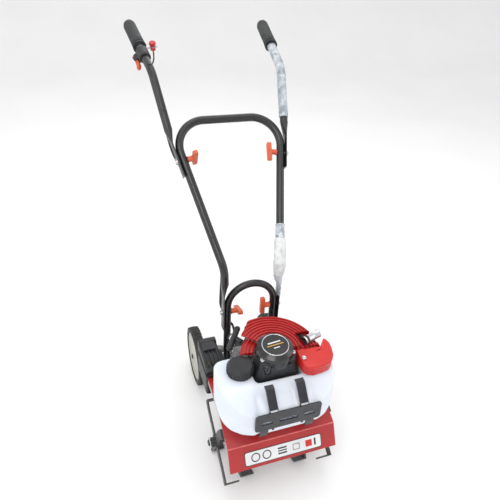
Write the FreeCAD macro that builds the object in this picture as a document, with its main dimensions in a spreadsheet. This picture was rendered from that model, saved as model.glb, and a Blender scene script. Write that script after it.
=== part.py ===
"""Mini cultivator: a two-stroke engine over a worm gearbox, four tines, two wheels and a folding handle.

Millimetres, +Z up, +X to the operator's left, the operator behind the machine at +Y. The tines and
the wheels stand on z = 0.
"""
import FreeCAD, Part
import Sketcher
import math
import os
from FreeCAD import Placement, Rotation, Vector

DIMENSIONS = {
    # handle tubes
    "tube_od": (22, "outside diameter of the handle tubes"),
    "tube_wall": (1.5, "wall of every tube"),
    "arch_od": (20, "outside diameter of the carrying arch"),
    "arch_half_width": (66.5, "centre line of an arch leg from the middle"),
    "arch_y": (129, "plane of the carrying arch"),
    "arch_centre_z": (401, "centre of the arch's half circle"),
    "arch_foot_z": (205, "lower end of the arch legs"),
    "lower_pivot_z": (383, "bolt that joins the lower handle to the arch"),
    "lower_end_z": (328, "lower end of the lower handle"),
    "elbow_half_width": (77.4, "lower handle's elbow, from the middle"),
    "elbow_y": (128.5, "lower handle's elbow"),
    "elbow_z": (526, "lower handle's elbow"),
    "elbow_radius": (56, "bend of the elbow"),
    "corner_half_width": (157.6, "lower handle's top corner, from the middle"),
    "corner_y": (395.5, "lower handle's top corner"),
    "corner_z": (836, "lower handle's top corner"),
    "corner_radius": (75, "bend of the top corners"),
    "pivot_share": (0.7355, "upper pivot's place between elbow and corner"),
    "strap_thickness": (5.5, "pressed tube end, through"),
    "strap_width": (30, "pressed tube end, across"),
    "joint_gap": (0.3, "air between two bolted tubes"),
    "upper_end": (42, "pressed end of an upper handle below its pivot"),
    "bend_half_width": (183.4, "upper handle's bend, from the middle"),
    "bend_y": (480.7, "upper handle's bend"),
    "bend_z": (946.8, "upper handle's bend"),
    "upper_bend_radius": (80, "bend of the upper handle"),
    "end_half_width": (207, "end of the upper handle, from the middle"),
    "end_y": (717, "end of the upper handle"),
    "end_z": (1023, "end of the upper handle"),
    "grip_od": (36, "rubber grip"),
    "grip_length": (124, "rubber grip"),
    "bolt_d": (8, "handle bolts"),
    "bolt_hole": (8.4, "holes for the handle bolts"),
    # tines
    "tine_axle_y": (-65, "tine shaft"),
    "tine_axle_z": (104, "tine shaft above the ground"),
    "tine_radius": (111.3, "flat of a tine's tip from the shaft"),
    "tine_outer_x": (150, "blade plane of an outer tine"),
    "tine_inner_x": (96, "blade plane of an inner tine"),
    "tine_reach": (36, "length of a bent tip"),
    "tine_strip": (25, "width of a tine's blade"),
    "tine_plate": (4, "thickness of a tine's blade"),
    "tine_outer_phase": (28, "lowest outer blade from straight down, degrees"),
    "tine_inner_phase": (60, "foremost inner blade from straight down, degrees"),
    "shaft_d": (16, "tine shaft"),
    "shaft_half_length": (170, "tine shaft"),
    # wheels
    "wheel_radius": (96, "tyre"),
    "wheel_y": (268, "wheel axle"),
    "tyre_outer_x": (141, "outer side of a tyre"),
    "tyre_width": (32, "tyre"),
    "rim_radius": (76, "wheel disc, inside the tyre"),
    "axle_d": (12, "wheel axle"),
    # tine guard
    "guard_half_width": (145, "tine guard"),
    "sheet": (1.5, "sheet metal of the guard"),
    "crease_y": (-157, "front crease of the guard"),
    "crease_z": (190, "front crease of the guard"),
    "guard_lip_y": (-186, "lower front edge of the guard"),
    "guard_lip_z": (133, "lower front edge of the guard"),
    "guard_top_y": (-70, "where the guard's top turns level"),
    "guard_top_z": (230, "level top of the guard"),
    "guard_back_y": (44, "rear edge of the guard"),
    # engine, in a frame whose Z is the crankshaft, leaning forward
    "tilt": (6, "lean of the crankshaft, degrees"),
    "worm_offset": (36, "tine shaft to worm shaft"),
    "worm_radius": (9, "worm, at its crests"),
    "worm_wheel_radius": (29, "worm wheel, at its tips"),
    "neck_radius": (28, "gearbox column"),
    "bell_radius": (55, "clutch bell of the crankcase"),
    "bell_z": (130, "underside of the clutch bell"),
    "case_z": (168, "underside of the crank chamber"),
    "case_top_z": (226, "top of the crank chamber"),
    "cylinder_z": (196, "cylinder axis"),
    "bore": (40, "cylinder bore"),
    "flywheel_z": (232, "underside of the flywheel"),
    "flywheel_radius": (40, "flywheel"),
    "shroud_radius": (122, "ribbed fan shroud"),
    "shroud_top_z": (291, "rim of the shroud"),
    "shroud_low_z": (236, "lower edge of the shroud's skirt"),
    "starter_radius": (48, "round starter cap"),
    "starter_top_z": (313, "top of the starter cap"),
    # fuel tank
    "tank_half_width": (150, "fuel tank"),
    "tank_front_y": (-172, "fuel tank"),
    "tank_back_y": (-14, "back of the tank's lobes"),
    "tank_low_z": (236, "underside of the tank"),
    "tank_top_z": (356, "top of the tank's lobes"),
    "saddle_half_width": (61, "gap between the lobes that takes the engine"),
    "saddle_y": (-106, "bottom of that gap"),
    "filler_x": (-90, "filler neck"),
    "filler_y": (-66, "filler neck"),
    "fuel_cap_radius": (34, "filler cap"),
    "bracket_half_width": (85, "bumper plate in front of the tank"),
    "bracket_low_z": (262, "bumper plate"),
    "bracket_top_z": (318, "bumper plate"),
    # air cleaner
    "filter_x": (-122, "middle of the air cleaner"),
    "filter_width": (52, "air cleaner"),
    "filter_front_y": (46, "air cleaner"),
    "filter_back_y": (152, "air cleaner"),
    "filter_low_z": (166, "air cleaner"),
    "filter_top_z": (276, "air cleaner"),
}

doc = FreeCAD.newDocument("mini_cultivator")
sheet = doc.addObject("Spreadsheet::Sheet", "Dims")
for row, (alias, (number, note)) in enumerate(DIMENSIONS.items(), start=1):
    sheet.set(f"A{row}", alias)
    sheet.set(f"B{row}", str(number))
    sheet.set(f"C{row}", note)
    sheet.setAlias(f"B{row}", alias)
doc.recompute()

nodes = []


class Size:
    """A number that also carries the sheet expression it comes from."""

    def __init__(self, value, text):
        self.value = value
        self.text = text

    def __add__(self, other):
        return Size(self.value + number_of(other), f"({self.text} + {text_of(other)})")

    def __sub__(self, other):
        return Size(self.value - number_of(other), f"({self.text} - {text_of(other)})")

    def __mul__(self, other):
        return Size(self.value * number_of(other), f"({self.text} * {text_of(other)})")

    def __truediv__(self, other):
        return Size(self.value / number_of(other), f"({self.text} / {text_of(other)})")

    def __neg__(self):
        return Size(-self.value, f"(-1 * {self.text})")

    __radd__ = __add__
    __rmul__ = __mul__


def number_of(size):
    return size.value if isinstance(size, Size) else float(size)


def text_of(size):
    return size.text if isinstance(size, Size) else f"({float(size)})"


class Dimensions:
    """Gives every alias of the sheet as a Size."""

    def __getattr__(self, alias):
        return Size(float(sheet.get(alias)), f"Dims.{alias}")


dim = Dimensions()


def bind(thing, name, size):
    thing.setExpression(name, text_of(size))


# ---------------------------------------------------------------- sketches and features


def new_body(label, placement=None):
    body = doc.addObject("PartDesign::Body", label)
    body.Label = label
    body.Placement = placement or Placement()
    nodes.append(body)
    return body


def origin_feature(body, role):
    return [feature for feature in body.Origin.OriginFeatures if feature.Role == role][0]


def new_sketch(body, role, offset=0):
    """A sketch on an origin plane: XY, XZ (normal towards -Y) or YZ (normal towards +X)."""
    sketch = body.newObject("Sketcher::SketchObject", "Sketch")
    sketch.AttachmentSupport = [(origin_feature(body, role + "_Plane"), "")]
    sketch.MapMode = "FlatFace"
    bind(sketch, "AttachmentOffset.Base.z", offset)
    return sketch


def pin_point(sketch, geometry, vertex, point):
    for kind, size in zip(("DistanceX", "DistanceY"), point):
        constraint = Sketcher.Constraint(kind, -1, 1, geometry, vertex, number_of(size))
        bind(sketch, f"Constraints[{sketch.addConstraint(constraint)}]", size)


def draw_polygon(sketch, points):
    corners = [Vector(number_of(across), number_of(up), 0) for across, up in points]
    first = sketch.GeometryCount
    count = len(points)
    for k in range(count):
        sketch.addGeometry(Part.LineSegment(corners[k], corners[(k + 1) % count]))
    for k in range(count):
        sketch.addConstraint(Sketcher.Constraint("Coincident", first + k, 2, first + (k + 1) % count, 1))
        pin_point(sketch, first + k, 1, points[k])


def draw_circle(sketch, centre, radius):
    middle = Vector(number_of(centre[0]), number_of(centre[1]), 0)
    index = sketch.addGeometry(Part.Circle(middle, Vector(0, 0, 1), number_of(radius)))
    pin_point(sketch, index, 3, centre)
    constraint = sketch.addConstraint(Sketcher.Constraint("Radius", index, number_of(radius)))
    bind(sketch, f"Constraints[{constraint}]", radius)


def rectangle(low, high):
    return [(low[0], low[1]), (high[0], low[1]), (high[0], high[1]), (low[0], high[1])]


def extrude(body, kind, sketch, length, symmetric=False, reverse=False):
    feature = body.newObject("PartDesign::" + kind, kind)
    feature.Profile = sketch
    feature.SideType = "Symmetric" if symmetric else "One side"
    feature.Reversed = reverse
    bind(feature, "Length", length)
    return feature


def pad(body, role, points, length, offset=0, symmetric=False, reverse=False):
    sketch = new_sketch(body, role, offset)
    draw_polygon(sketch, points)
    return extrude(body, "Pad", sketch, length, symmetric, reverse)


def pad_disc(body, role, centre, radius, length, offset=0, symmetric=False, bore=None):
    sketch = new_sketch(body, role, offset)
    draw_circle(sketch, centre, radius)
    if bore is not None:
        draw_circle(sketch, centre, bore)
    return extrude(body, "Pad", sketch, length, symmetric)


def pocket(body, role, points, length, offset=0, symmetric=False, reverse=False):
    sketch = new_sketch(body, role, offset)
    draw_polygon(sketch, points)
    return extrude(body, "Pocket", sketch, length, symmetric, reverse)


def pocket_discs(body, role, centres, radius, length, offset=0, symmetric=False, reverse=False):
    sketch = new_sketch(body, role, offset)
    for centre in centres:
        draw_circle(sketch, centre, radius)
    return extrude(body, "Pocket", sketch, length, symmetric, reverse)


def revolve(body, points, angle=360):
    """Turns a polygon (radius, height) about the body's own Z axis."""
    sketch = new_sketch(body, "XZ")
    draw_polygon(sketch, points)
    feature = body.newObject("PartDesign::Revolution", "Revolution")
    feature.Profile = sketch
    feature.ReferenceAxis = (sketch, ["V_Axis"])
    bind(feature, "Angle", angle)
    return feature


def repeat_round(body, features, count):
    pattern = body.newObject("PartDesign::PolarPattern", "Pattern")
    pattern.Originals = features
    pattern.Axis = (origin_feature(body, "Z_Axis"), [""])
    pattern.Angle = 360
    pattern.Occurrences = count
    body.Tip = pattern
    return pattern


def repeat_along(body, features, role, length, count):
    pattern = body.newObject("PartDesign::LinearPattern", "Pattern")
    pattern.Originals = features
    pattern.Direction = (origin_feature(body, role + "_Axis"), [""])
    bind(pattern, "Length", length)
    pattern.Occurrences = count
    body.Tip = pattern
    return pattern


def dress(body, kind, size, chosen):
    """Fillets or chamfers the edges of the body so far for which chosen(edge) is true."""
    doc.recompute()
    base = body.Tip
    names = [f"Edge{k}" for k, edge in enumerate(base.Shape.Edges, start=1) if chosen(edge)]
    feature = body.newObject("PartDesign::" + kind, kind)
    feature.Base = (base, names)
    bind(feature, "Radius" if kind == "Fillet" else "Size", size)
    return feature


def runs_along(axis):
    """Chooses the straight edges that lie along an axis."""
    def chosen(edge):
        if not isinstance(edge.Curve, Part.Line):
            return False
        return abs(abs(edge.Curve.Direction.dot(axis)) - 1) < 1e-6
    return chosen


# ---------------------------------------------------------------- frames and Part shapes

X_AXIS = Vector(1, 0, 0)
Y_AXIS = Vector(0, 1, 0)
Z_AXIS = Vector(0, 0, 1)

ALONG_X = Rotation(Y_AXIS, 90)
ENGINE_TURN = Rotation(X_AXIS, dim.tilt.value)
TINE_AXLE = Vector(0, dim.tine_axle_y.value, dim.tine_axle_z.value)
ENGINE = Placement(TINE_AXLE + ENGINE_TURN.multVec(Vector(0, dim.worm_offset.value, 0)), ENGINE_TURN)


def in_engine(position=Vector(), turn=Rotation()):
    return ENGINE.multiply(Placement(position, turn))


def add_shape(label, shape, placement=None):
    feature = doc.addObject("Part::Feature", label)
    feature.Label = label
    feature.Shape = shape
    feature.Placement = placement or Placement()
    nodes.append(feature)
    return feature


def rounded_path(points, radii):
    """Straight runs through the points, joined by tangent arcs of the given radii."""
    edges = []
    start = points[0]
    for before, corner, after, radius in zip(points, points[1:], points[2:], radii):
        incoming = (corner - before).normalize()
        outgoing = (after - corner).normalize()
        turn = incoming.getAngle(outgoing)
        reach = radius * math.tan(turn / 2)
        enter = corner - incoming * reach
        leave = corner + outgoing * reach
        bisector = (outgoing - incoming).normalize()
        centre = corner + bisector * (radius / math.cos(turn / 2))
        middle = centre - bisector * radius
        edges.append(Part.LineSegment(start, enter).toShape())
        edges.append(Part.Arc(enter, middle, leave).toShape())
        start = leave
    edges.append(Part.LineSegment(start, points[-1]).toShape())
    return Part.Wire(edges)


def sweep_disc(path, radius):
    start = path.Edges[0]
    direction = start.tangentAt(start.FirstParameter)
    profile = Part.Wire(Part.Circle(start.valueAt(start.FirstParameter), direction, radius).toShape())
    return path.makePipeShell([profile], True, False)


def sweep_tube(path, outer, wall):
    return sweep_disc(path, outer / 2).cut(sweep_disc(path, outer / 2 - wall))


def oval(centre, along, across, half_width, half_thickness):
    """An ellipse square to along, half_thickness in the direction of across."""
    major = along.cross(across).normalize()
    curve = Part.Ellipse(centre + major * half_width, centre + across * half_thickness, centre)
    return Part.Wire(curve.toShape())


def round_section(centre, along, across, radius):
    """A round that is drawn as a nearly round ellipse, so that a loft keeps its seam in line."""
    return oval(centre, along, across, radius * 1.001, radius)


def cylinder(start, direction, radius, length):
    return Part.makeCylinder(radius, length, start, direction)


def pressed_end(foot, shoulder, neck_centre, along, across, neck_radius):
    """A tube end pressed to a flat strap from foot to shoulder, then opening to a round collar."""
    half_width = dim.strap_width.value / 2
    half_thickness = dim.strap_thickness.value / 2
    sections = [oval(centre, along, across, half_width, half_thickness) for centre in (foot, shoulder)]
    strap = Part.makeLoft(sections, True, True)
    collar = round_section(neck_centre, along, across, neck_radius + COLLAR)
    neck = Part.makeLoft([sections[1], collar], True, True)
    return strap.fuse(neck)


# ---------------------------------------------------------------- handles

# a pressed end's collar stands this much proud of the tube that is welded into it
COLLAR = 0.25
TUBE_RADIUS = dim.tube_od.value / 2
STRAP_OFFSET = dim.joint_gap.value + dim.strap_thickness.value / 2
ELBOW = Vector(dim.elbow_half_width.value, dim.elbow_y.value, dim.elbow_z.value)
CORNER = Vector(dim.corner_half_width.value, dim.corner_y.value, dim.corner_z.value)
NECK = Vector(75.8, dim.arch_y.value, 480)
LEG = (CORNER - ELBOW).normalize()
UPPER_PIVOT = ELBOW + (CORNER - ELBOW) * dim.pivot_share.value
LOWER_PIVOT = Vector(dim.arch_half_width.value, dim.arch_y.value, dim.lower_pivot_z.value)
OUTBOARD = (X_AXIS - LEG * LEG.x).normalize()
SIDES = {"left": -1, "right": 1}


def mirrored(vector, side):
    return Vector(vector.x * side, vector.y, vector.z)


def lower_handle():
    """One tube bent to a U; its pressed ends lie against the outside of the arch legs."""
    shoulder_z = 445
    strap_x = dim.arch_half_width.value + dim.arch_od.value / 2 + STRAP_OFFSET
    points = []
    for side in (-1, 1):
        half = [mirrored(point, side) for point in (NECK, ELBOW, CORNER)]
        points += half if side < 0 else half[::-1]
    radii = [dim.elbow_radius.value, dim.corner_radius.value]
    path = rounded_path(points, radii + radii[::-1])
    tube = sweep_tube(path, dim.tube_od.value, dim.tube_wall.value)
    ends = []
    for side in (-1, 1):
        pivot = mirrored(UPPER_PIVOT, side)
        outboard = mirrored(OUTBOARD, side)
        tube = tube.cut(cylinder(pivot - outboard * 30, outboard, dim.bolt_hole.value / 2, 60))
        foot = mirrored(Vector(strap_x, dim.arch_y.value, dim.lower_end_z.value), side)
        shoulder = mirrored(Vector(strap_x, dim.arch_y.value, shoulder_z), side)
        along = (mirrored(ELBOW, side) - mirrored(NECK, side)).normalize()
        end = pressed_end(foot, shoulder, mirrored(NECK, side), along, X_AXIS, TUBE_RADIUS)
        bolt = Vector(-200, dim.arch_y.value, dim.lower_pivot_z.value)
        ends.append(end.cut(cylinder(bolt, X_AXIS, dim.bolt_hole.value / 2, 400)))
    add_shape("lower_handle", Part.makeCompound([tube] + ends))


def upper_frame(side):
    """Z along the leg, X outboard, at the upper pivot."""
    leg = mirrored(LEG, side)
    outboard = mirrored(OUTBOARD, side)
    return Placement(mirrored(UPPER_PIVOT, side), Rotation(outboard, leg.cross(outboard), leg, "ZXY"))


def upper_points(side):
    """Foot of the round part, bend and end of an upper handle, in its own frame."""
    frame = upper_frame(side).inverse()
    bend = Vector(dim.bend_half_width.value, dim.bend_y.value, dim.bend_z.value)
    end = Vector(dim.end_half_width.value, dim.end_y.value, dim.end_z.value)
    bend = frame.multVec(mirrored(bend, side))
    end = frame.multVec(mirrored(end, side))
    return Vector(TUBE_RADIUS + STRAP_OFFSET - 1.5, 0, 60), bend, end


def point_at_height(foot, bend, height):
    return foot + (bend - foot) * ((height - foot.z) / (bend.z - foot.z))


def upper_path(side, start, short=0):
    """Centre line of an upper handle in its own frame, from a height on its first run to short of its end."""
    foot, bend, end = upper_points(side)
    last = end - (end - bend).normalize() * short
    return rounded_path([point_at_height(foot, bend, start), bend, last], [dim.upper_bend_radius.value])


def upper_handle(name, side):
    neck_height = 90
    shoulder_height = 50
    strap_x = TUBE_RADIUS + STRAP_OFFSET
    foot, bend, _ = upper_points(side)
    path = upper_path(side, neck_height - 1.5)
    tube = sweep_tube(path, dim.tube_od.value, dim.tube_wall.value)
    foot_end = Vector(strap_x, 0, -dim.upper_end.value)
    shoulder = Vector(strap_x, 0, shoulder_height)
    neck = point_at_height(foot, bend, neck_height)
    end = pressed_end(foot_end, shoulder, neck, Z_AXIS, X_AXIS, TUBE_RADIUS)
    end = end.cut(cylinder(Vector(-40, 0, 0), X_AXIS, dim.bolt_hole.value / 2, 80))
    add_shape("upper_handle_" + name, tube.fuse(end).removeSplitter(), upper_frame(side))


def grip_frame(side):
    """Z along the end of an upper handle towards the operator, at the handle's end."""
    path = upper_path(side, 90)
    last = path.Edges[-1]
    end = last.valueAt(last.LastParameter)
    direction = last.tangentAt(last.LastParameter)
    turn = Rotation(X_AXIS, direction.cross(X_AXIS) * -1, direction, "ZXY")
    return upper_frame(side).multiply(Placement(end, turn))


def grip(name, side):
    """Rubber grip with a domed end and two ring ribs at its inner end."""
    body = new_body("grip_" + name, grip_frame(side))
    outer = dim.grip_od / 2
    inner = dim.tube_od / 2 + 0.05
    low = -dim.grip_length
    points = [
        (inner, low), (outer + 1, low), (outer + 1, low + 5), (outer - 1.5, low + 6),
        (outer - 1.5, low + 11), (outer + 0.5, low + 12), (outer + 0.5, low + 17),
        (outer - 1.5, low + 18), (outer - 1.5, low + 22), (outer, low + 24), (outer, 0),
        (outer * 0.9, 9), (outer * 0.62, 15), (0, 18), (0, 0.5), (inner, 0.5),
    ]
    revolve(body, points)


def base_arch():
    """Carrying arch: two upright legs and a half circle, with cross holes for the pivot bolts."""
    radius = dim.arch_half_width.value
    middle = dim.arch_centre_z.value
    low = dim.arch_foot_z.value
    y = dim.arch_y.value
    left_top = Vector(-radius, y, middle)
    right_top = Vector(radius, y, middle)
    path = Part.Wire([
        Part.LineSegment(Vector(-radius, y, low), left_top).toShape(),
        Part.Arc(left_top, Vector(0, y, middle + radius), right_top).toShape(),
        Part.LineSegment(right_top, Vector(radius, y, low)).toShape(),
    ])
    tube = sweep_tube(path, dim.arch_od.value, dim.tube_wall.value)
    for z in (dim.lower_pivot_z.value, low + 16):
        tube = tube.cut(cylinder(Vector(-200, y, z), X_AXIS, dim.bolt_hole.value / 2, 400))
    add_shape("base_arch", tube)


def handle_bolt(pivot, outboard, tube_radius):
    """Coach bolt through a leg and a strap: head and washer outboard, thread inboard."""
    face = tube_radius + dim.joint_gap.value + dim.strap_thickness.value
    reach = tube_radius + 22
    shank = cylinder(pivot - outboard * reach, outboard, dim.bolt_d.value / 2, reach + face + 1)
    washer = cylinder(pivot + outboard * (face + 0.2), outboard, 9, 1.5)
    head = cylinder(pivot + outboard * (face + 1.7), outboard, 6.5, 4)
    return shank.fuse([washer, head])


def upper_pivot_bolts():
    bolts = []
    for side in SIDES.values():
        bolts.append(handle_bolt(mirrored(UPPER_PIVOT, side), mirrored(OUTBOARD, side), TUBE_RADIUS))
    add_shape("upper_pivot_bolts", Part.makeCompound(bolts))


def packing():
    """Foam and film that the new machine is wrapped in: on the right lower leg and right upper handle."""
    radii = [dim.elbow_radius.value]
    path = rounded_path([NECK + (ELBOW - NECK) * 0.4, ELBOW, ELBOW + LEG * 150], radii)
    foam = sweep_disc(path, 15.5).cut(sweep_disc(path, TUBE_RADIUS + 0.3))
    add_shape("packing_foam", foam)
    path = upper_path(1, 112, dim.grip_length.value + 6)
    film = sweep_disc(path, 12.6).cut(sweep_disc(path, TUBE_RADIUS + 0.2))
    add_shape("packing_film", film, upper_frame(1))


def cables():
    """Throttle and stop leads in one sheath, held behind the left handle down to the engine."""
    radius = 3.5
    off = TUBE_RADIUS + radius + 0.5
    foot, bend, end = upper_points(-1)
    last = end - (end - bend).normalize() * (dim.grip_length.value + 78)
    inboard = Vector(-7, 0, 0)
    behind_first = Vector(0, -off, 0)
    behind_last = (end - bend).normalize().cross(X_AXIS).normalize() * -off
    # outboard of the leg that it swings past, then along the tube's inner side
    beside_leg = Vector(4, 0, 0)
    points = [Vector(TUBE_RADIUS + radius + 1.5, -off - 5, 34),
              point_at_height(foot, bend, 130) + behind_first + beside_leg,
              bend + (behind_first + behind_last) * 0.5 + inboard, last + behind_last + inboard * 0.3]
    upper = sweep_disc(rounded_path(points, [90, 70]), radius)
    add_shape("cable_upper", upper, upper_frame(-1))

    leg = mirrored(LEG, -1)
    under = leg.cross(mirrored(OUTBOARD, -1)) * -off
    elbow = mirrored(ELBOW, -1)
    pivot = mirrored(UPPER_PIVOT, -1)
    behind_strap = dim.arch_y.value + dim.strap_width.value / 2 + radius + 1
    foot = Vector(-82, behind_strap, dim.lower_pivot_z.value + 22)
    points = [pivot + under - leg * 14, pivot + under - leg * 120,
              Vector(elbow.x - 1, behind_strap, elbow.z - 4), foot]
    lower = sweep_disc(rounded_path(points, [200, 60]), radius)
    add_shape("cable_lower", lower)

    inlet = ENGINE.multVec(Vector(-61, 94.8, dim.cylinder_z.value + 9))
    arch_back = dim.arch_y.value + dim.arch_od.value / 2
    behind_leg = Vector(-dim.arch_half_width.value, arch_back + radius + 0.5, 400)
    points = [behind_leg, Vector(behind_leg.x, behind_leg.y, 345), Vector(-47, behind_leg.y - 1, 326),
              Vector(inlet.x, 84, inlet.z), inlet]
    engine = sweep_disc(rounded_path(points, [16, 16, 24]), radius)
    add_shape("cable_engine", engine)


def wing_knob(label, pivot, inboard, up, tube_radius):
    """T-shaped wing knob; its collar bears on the inside of the leg."""
    side = up.cross(inboard)
    frame = Placement(pivot + inboard * (tube_radius + 0.3), Rotation(side, up, inboard, "ZXY"))
    body = new_body(label, frame)
    revolve(body, [
        (dim.bolt_d / 2 + 0.1, 0), (8.5, 0), (8.5, 2), (7.5, 3), (7.5, 18), (dim.bolt_d / 2 + 0.1, 18)])
    wing = [(-5, -27), (5, -27), (7, -20), (7, 20), (5, 27), (-5, 27), (-7, 20), (-7, -20)]
    pad(body, "XY", wing, 12, offset=15)
    pocket_discs(body, "XY", [(0, 0)], dim.bolt_d / 2 + 0.1, 11, offset=12, reverse=True)
    dress(body, "Fillet", 2, lambda edge: edge.BoundBox.ZMin > 26.9)


def wing_knobs():
    for name, side in SIDES.items():
        inboard = X_AXIS * -side
        up = Rotation(X_AXIS, 70).multVec(Z_AXIS) if side < 0 else Z_AXIS
        wing_knob("lower_knob_" + name, mirrored(LOWER_PIVOT, side), inboard, up, dim.arch_od.value / 2)
        leg = mirrored(LEG, side)
        inboard = mirrored(OUTBOARD, side) * -1
        up = Rotation(inboard, 75).multVec(leg) if side < 0 else Rotation(inboard, 12).multVec(leg)
        wing_knob("upper_knob_" + name, mirrored(UPPER_PIVOT, side), inboard, up, TUBE_RADIUS)


# ---------------------------------------------------------------- tines

TINE_FRAME = Placement(TINE_AXLE, ALONG_X)


def tine(label, plane_x, phase, side):
    """Four L-shaped blades on a hub; the tips bend inboard, towards the gearbox."""
    turn = ALONG_X.multiply(Rotation(Z_AXIS, phase))
    body = new_body(label, Placement(TINE_AXLE + X_AXIS * (plane_x.value * side), turn))
    inward = side > 0
    strip = dim.tine_strip / 2
    outer = dim.tine_radius
    blade = [(8, -strip), (outer - 30, -strip - 3), (outer, -strip), (outer, strip),
             (outer - 34, strip - 5), (8, strip)]
    root = pad(body, "XY", blade, dim.tine_plate, offset=-dim.tine_plate / 2)
    tip_outline = rectangle((outer - dim.tine_plate, -strip), (outer, strip))
    tip = pad(body, "XY", tip_outline, dim.tine_reach, reverse=inward)
    repeat_round(body, [root, tip], 4)
    pad_disc(body, "XY", (0, 0), 19, 8, symmetric=True)
    pad_disc(body, "XY", (0, 0), 13, 26, symmetric=True)
    pocket_discs(body, "XY", [(0, 0)], dim.shaft_d / 2 + 0.05, 40, symmetric=True)


def tines():
    tine("tine_outer_left", dim.tine_outer_x, dim.tine_outer_phase.value, -1)
    tine("tine_inner_left", dim.tine_inner_x, dim.tine_inner_phase.value, -1)
    tine("tine_inner_right", dim.tine_inner_x, dim.tine_inner_phase.value, 1)
    tine("tine_outer_right", dim.tine_outer_x, dim.tine_outer_phase.value, 1)


def tine_shaft():
    body = new_body("tine_shaft", TINE_FRAME)
    pad_disc(body, "XY", (0, 0), dim.shaft_d / 2, dim.shaft_half_length * 2 + 4, symmetric=True)
    across = dim.shaft_half_length - 3
    for place in (-across, across):
        pocket_discs(body, "XZ", [(0, place)], 2.1, 40, symmetric=True)
    dress(body, "Chamfer", 1, lambda edge: abs(abs(edge.BoundBox.Center.z) - 172) < 0.1)


def tine_clips():
    """Spring clips through the ends of the tine shaft, outside the outer tines."""
    clips = []
    place = dim.shaft_half_length.value - 3
    for side in (-1, 1):
        centre = TINE_AXLE + X_AXIS * (side * place)
        pin = cylinder(centre - Y_AXIS * 14, Y_AXIS, 2, 28)
        bow = Part.makeTorus(12, 1.5, centre, X_AXIS)
        clips.append(pin.fuse(bow))
    add_shape("tine_clips", Part.makeCompound(clips))


def worm_wheel():
    """Bronze worm wheel with a hub; the teeth are straight notches along the rim."""
    body = new_body("worm_wheel", TINE_FRAME)
    tip = dim.worm_wheel_radius
    pad_disc(body, "XY", (0, 0), tip, 10, symmetric=True)
    notch = [(tip - 4, -0.9), (tip + 1, -2.2), (tip + 1, 2.2), (tip - 4, 0.9)]
    tooth_gap = pocket(body, "XY", notch, 20, symmetric=True)
    repeat_round(body, [tooth_gap], WORM_WHEEL_TEETH)
    pad_disc(body, "XY", (0, 0), 15, 26, symmetric=True)
    pocket_discs(body, "XY", [(0, 0)], dim.shaft_d / 2 + 0.05, 40, symmetric=True)


WORM_WHEEL_TEETH = 30


def worm_shaft():
    """Upright shaft: a one-start worm beside the worm wheel, and the clutch drum's seat at the top."""
    crest = dim.worm_radius.value
    core = crest - 3.4
    pitch = 2 * math.pi * (dim.worm_offset.value - crest + 1) / WORM_WHEEL_TEETH
    turns = 6
    low = -pitch * turns / 2
    helix = Part.makeHelix(pitch, pitch * turns, core)
    outline = [Vector(core - 0.6, 0, -1.3), Vector(crest, 0, -0.45), Vector(crest, 0, 0.45),
               Vector(core - 0.6, 0, 1.3)]
    ridge = Part.Wire(helix.Edges).makePipeShell([Part.makePolygon(outline + outline[:1])], True, True)
    # the ridge crosses the line towards the worm wheel at the height of the tine shaft
    ridge.Placement = Placement(Vector(0, 0, low), Rotation(Z_AXIS, -90))
    shaft = cylinder(Vector(0, 0, -32), Z_AXIS, 5, 10).fuse([
        cylinder(Vector(0, 0, -22), Z_AXIS, core, 46), cylinder(Vector(0, 0, 24), Z_AXIS, 6, 124)])
    add_shape("worm_shaft", shaft.fuse(ridge), in_engine())


def shaft_bearings():
    """Ball bearings of the tine shaft and of the worm shaft, drawn as rings with a raceway gap."""
    rings = []
    for axis, centre, bore, outside, width in (
            (X_AXIS, TINE_AXLE - X_AXIS * 30, 8.05, 17, 9),
            (X_AXIS, TINE_AXLE + X_AXIS * 21, 8.05, 17, 9),
            (None, Vector(0, 0, -32), 5.05, 13, 8),
            (None, Vector(0, 0, 84), 6.05, 16, 10)):
        if axis is None:
            axis = ENGINE_TURN.multVec(Z_AXIS)
            centre = ENGINE.multVec(centre)
        ring = cylinder(centre, axis, outside, width).cut(cylinder(centre, axis, bore, width))
        groove = cylinder(centre, axis, outside - 2.5, 1.5).cut(cylinder(centre, axis, bore + 2.5, 1.5))
        rings.append(ring.cut(groove))
    add_shape("shaft_bearings", Part.makeCompound(rings))


def gearbox_half(label, side):
    """Half of the split gear case: a round case on the tine shaft and a column round the worm shaft."""
    clearance = 0.6
    column = cylinder(Vector(0, 0, -42), Z_AXIS, dim.neck_radius.value, 147)
    axle = Vector(0, -dim.worm_offset.value, 0)
    case = cylinder(axle - X_AXIS * 33, X_AXIS, 38, 66)
    waist = Part.makeBox(40, dim.worm_offset.value, 66, Vector(-20, -dim.worm_offset.value, -36))
    foot = cylinder(Vector(0, 0, 93), Z_AXIS, 46, 12)
    solid = column.fuse([case, waist, foot])
    cavity = cylinder(axle - X_AXIS * 21, X_AXIS, 33, 42)
    cavity = cavity.fuse([
        cylinder(Vector(0, 0, -23), Z_AXIS, 16, 107),
        cylinder(Vector(0, 0, -32.2), Z_AXIS, 13.05, 9.4),
        cylinder(Vector(0, 0, 83.8), Z_AXIS, 16.05, 30),
        cylinder(axle - X_AXIS * 30.1, X_AXIS, 17.05, 60.2),
        cylinder(axle - X_AXIS * 60, X_AXIS, dim.shaft_d.value / 2 + clearance, 120)])
    for x, y in ((34, 0), (-34, 0), (0, 36), (0, -36)):
        cavity = cavity.fuse(cylinder(Vector(x, y, 80), Z_AXIS, 3.2, 40))
    keep = Part.makeBox(100, 200, 300, Vector(0 if side > 0 else -100, -120, -120))
    add_shape(label, solid.cut(cavity).common(keep).removeSplitter(), in_engine())


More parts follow.
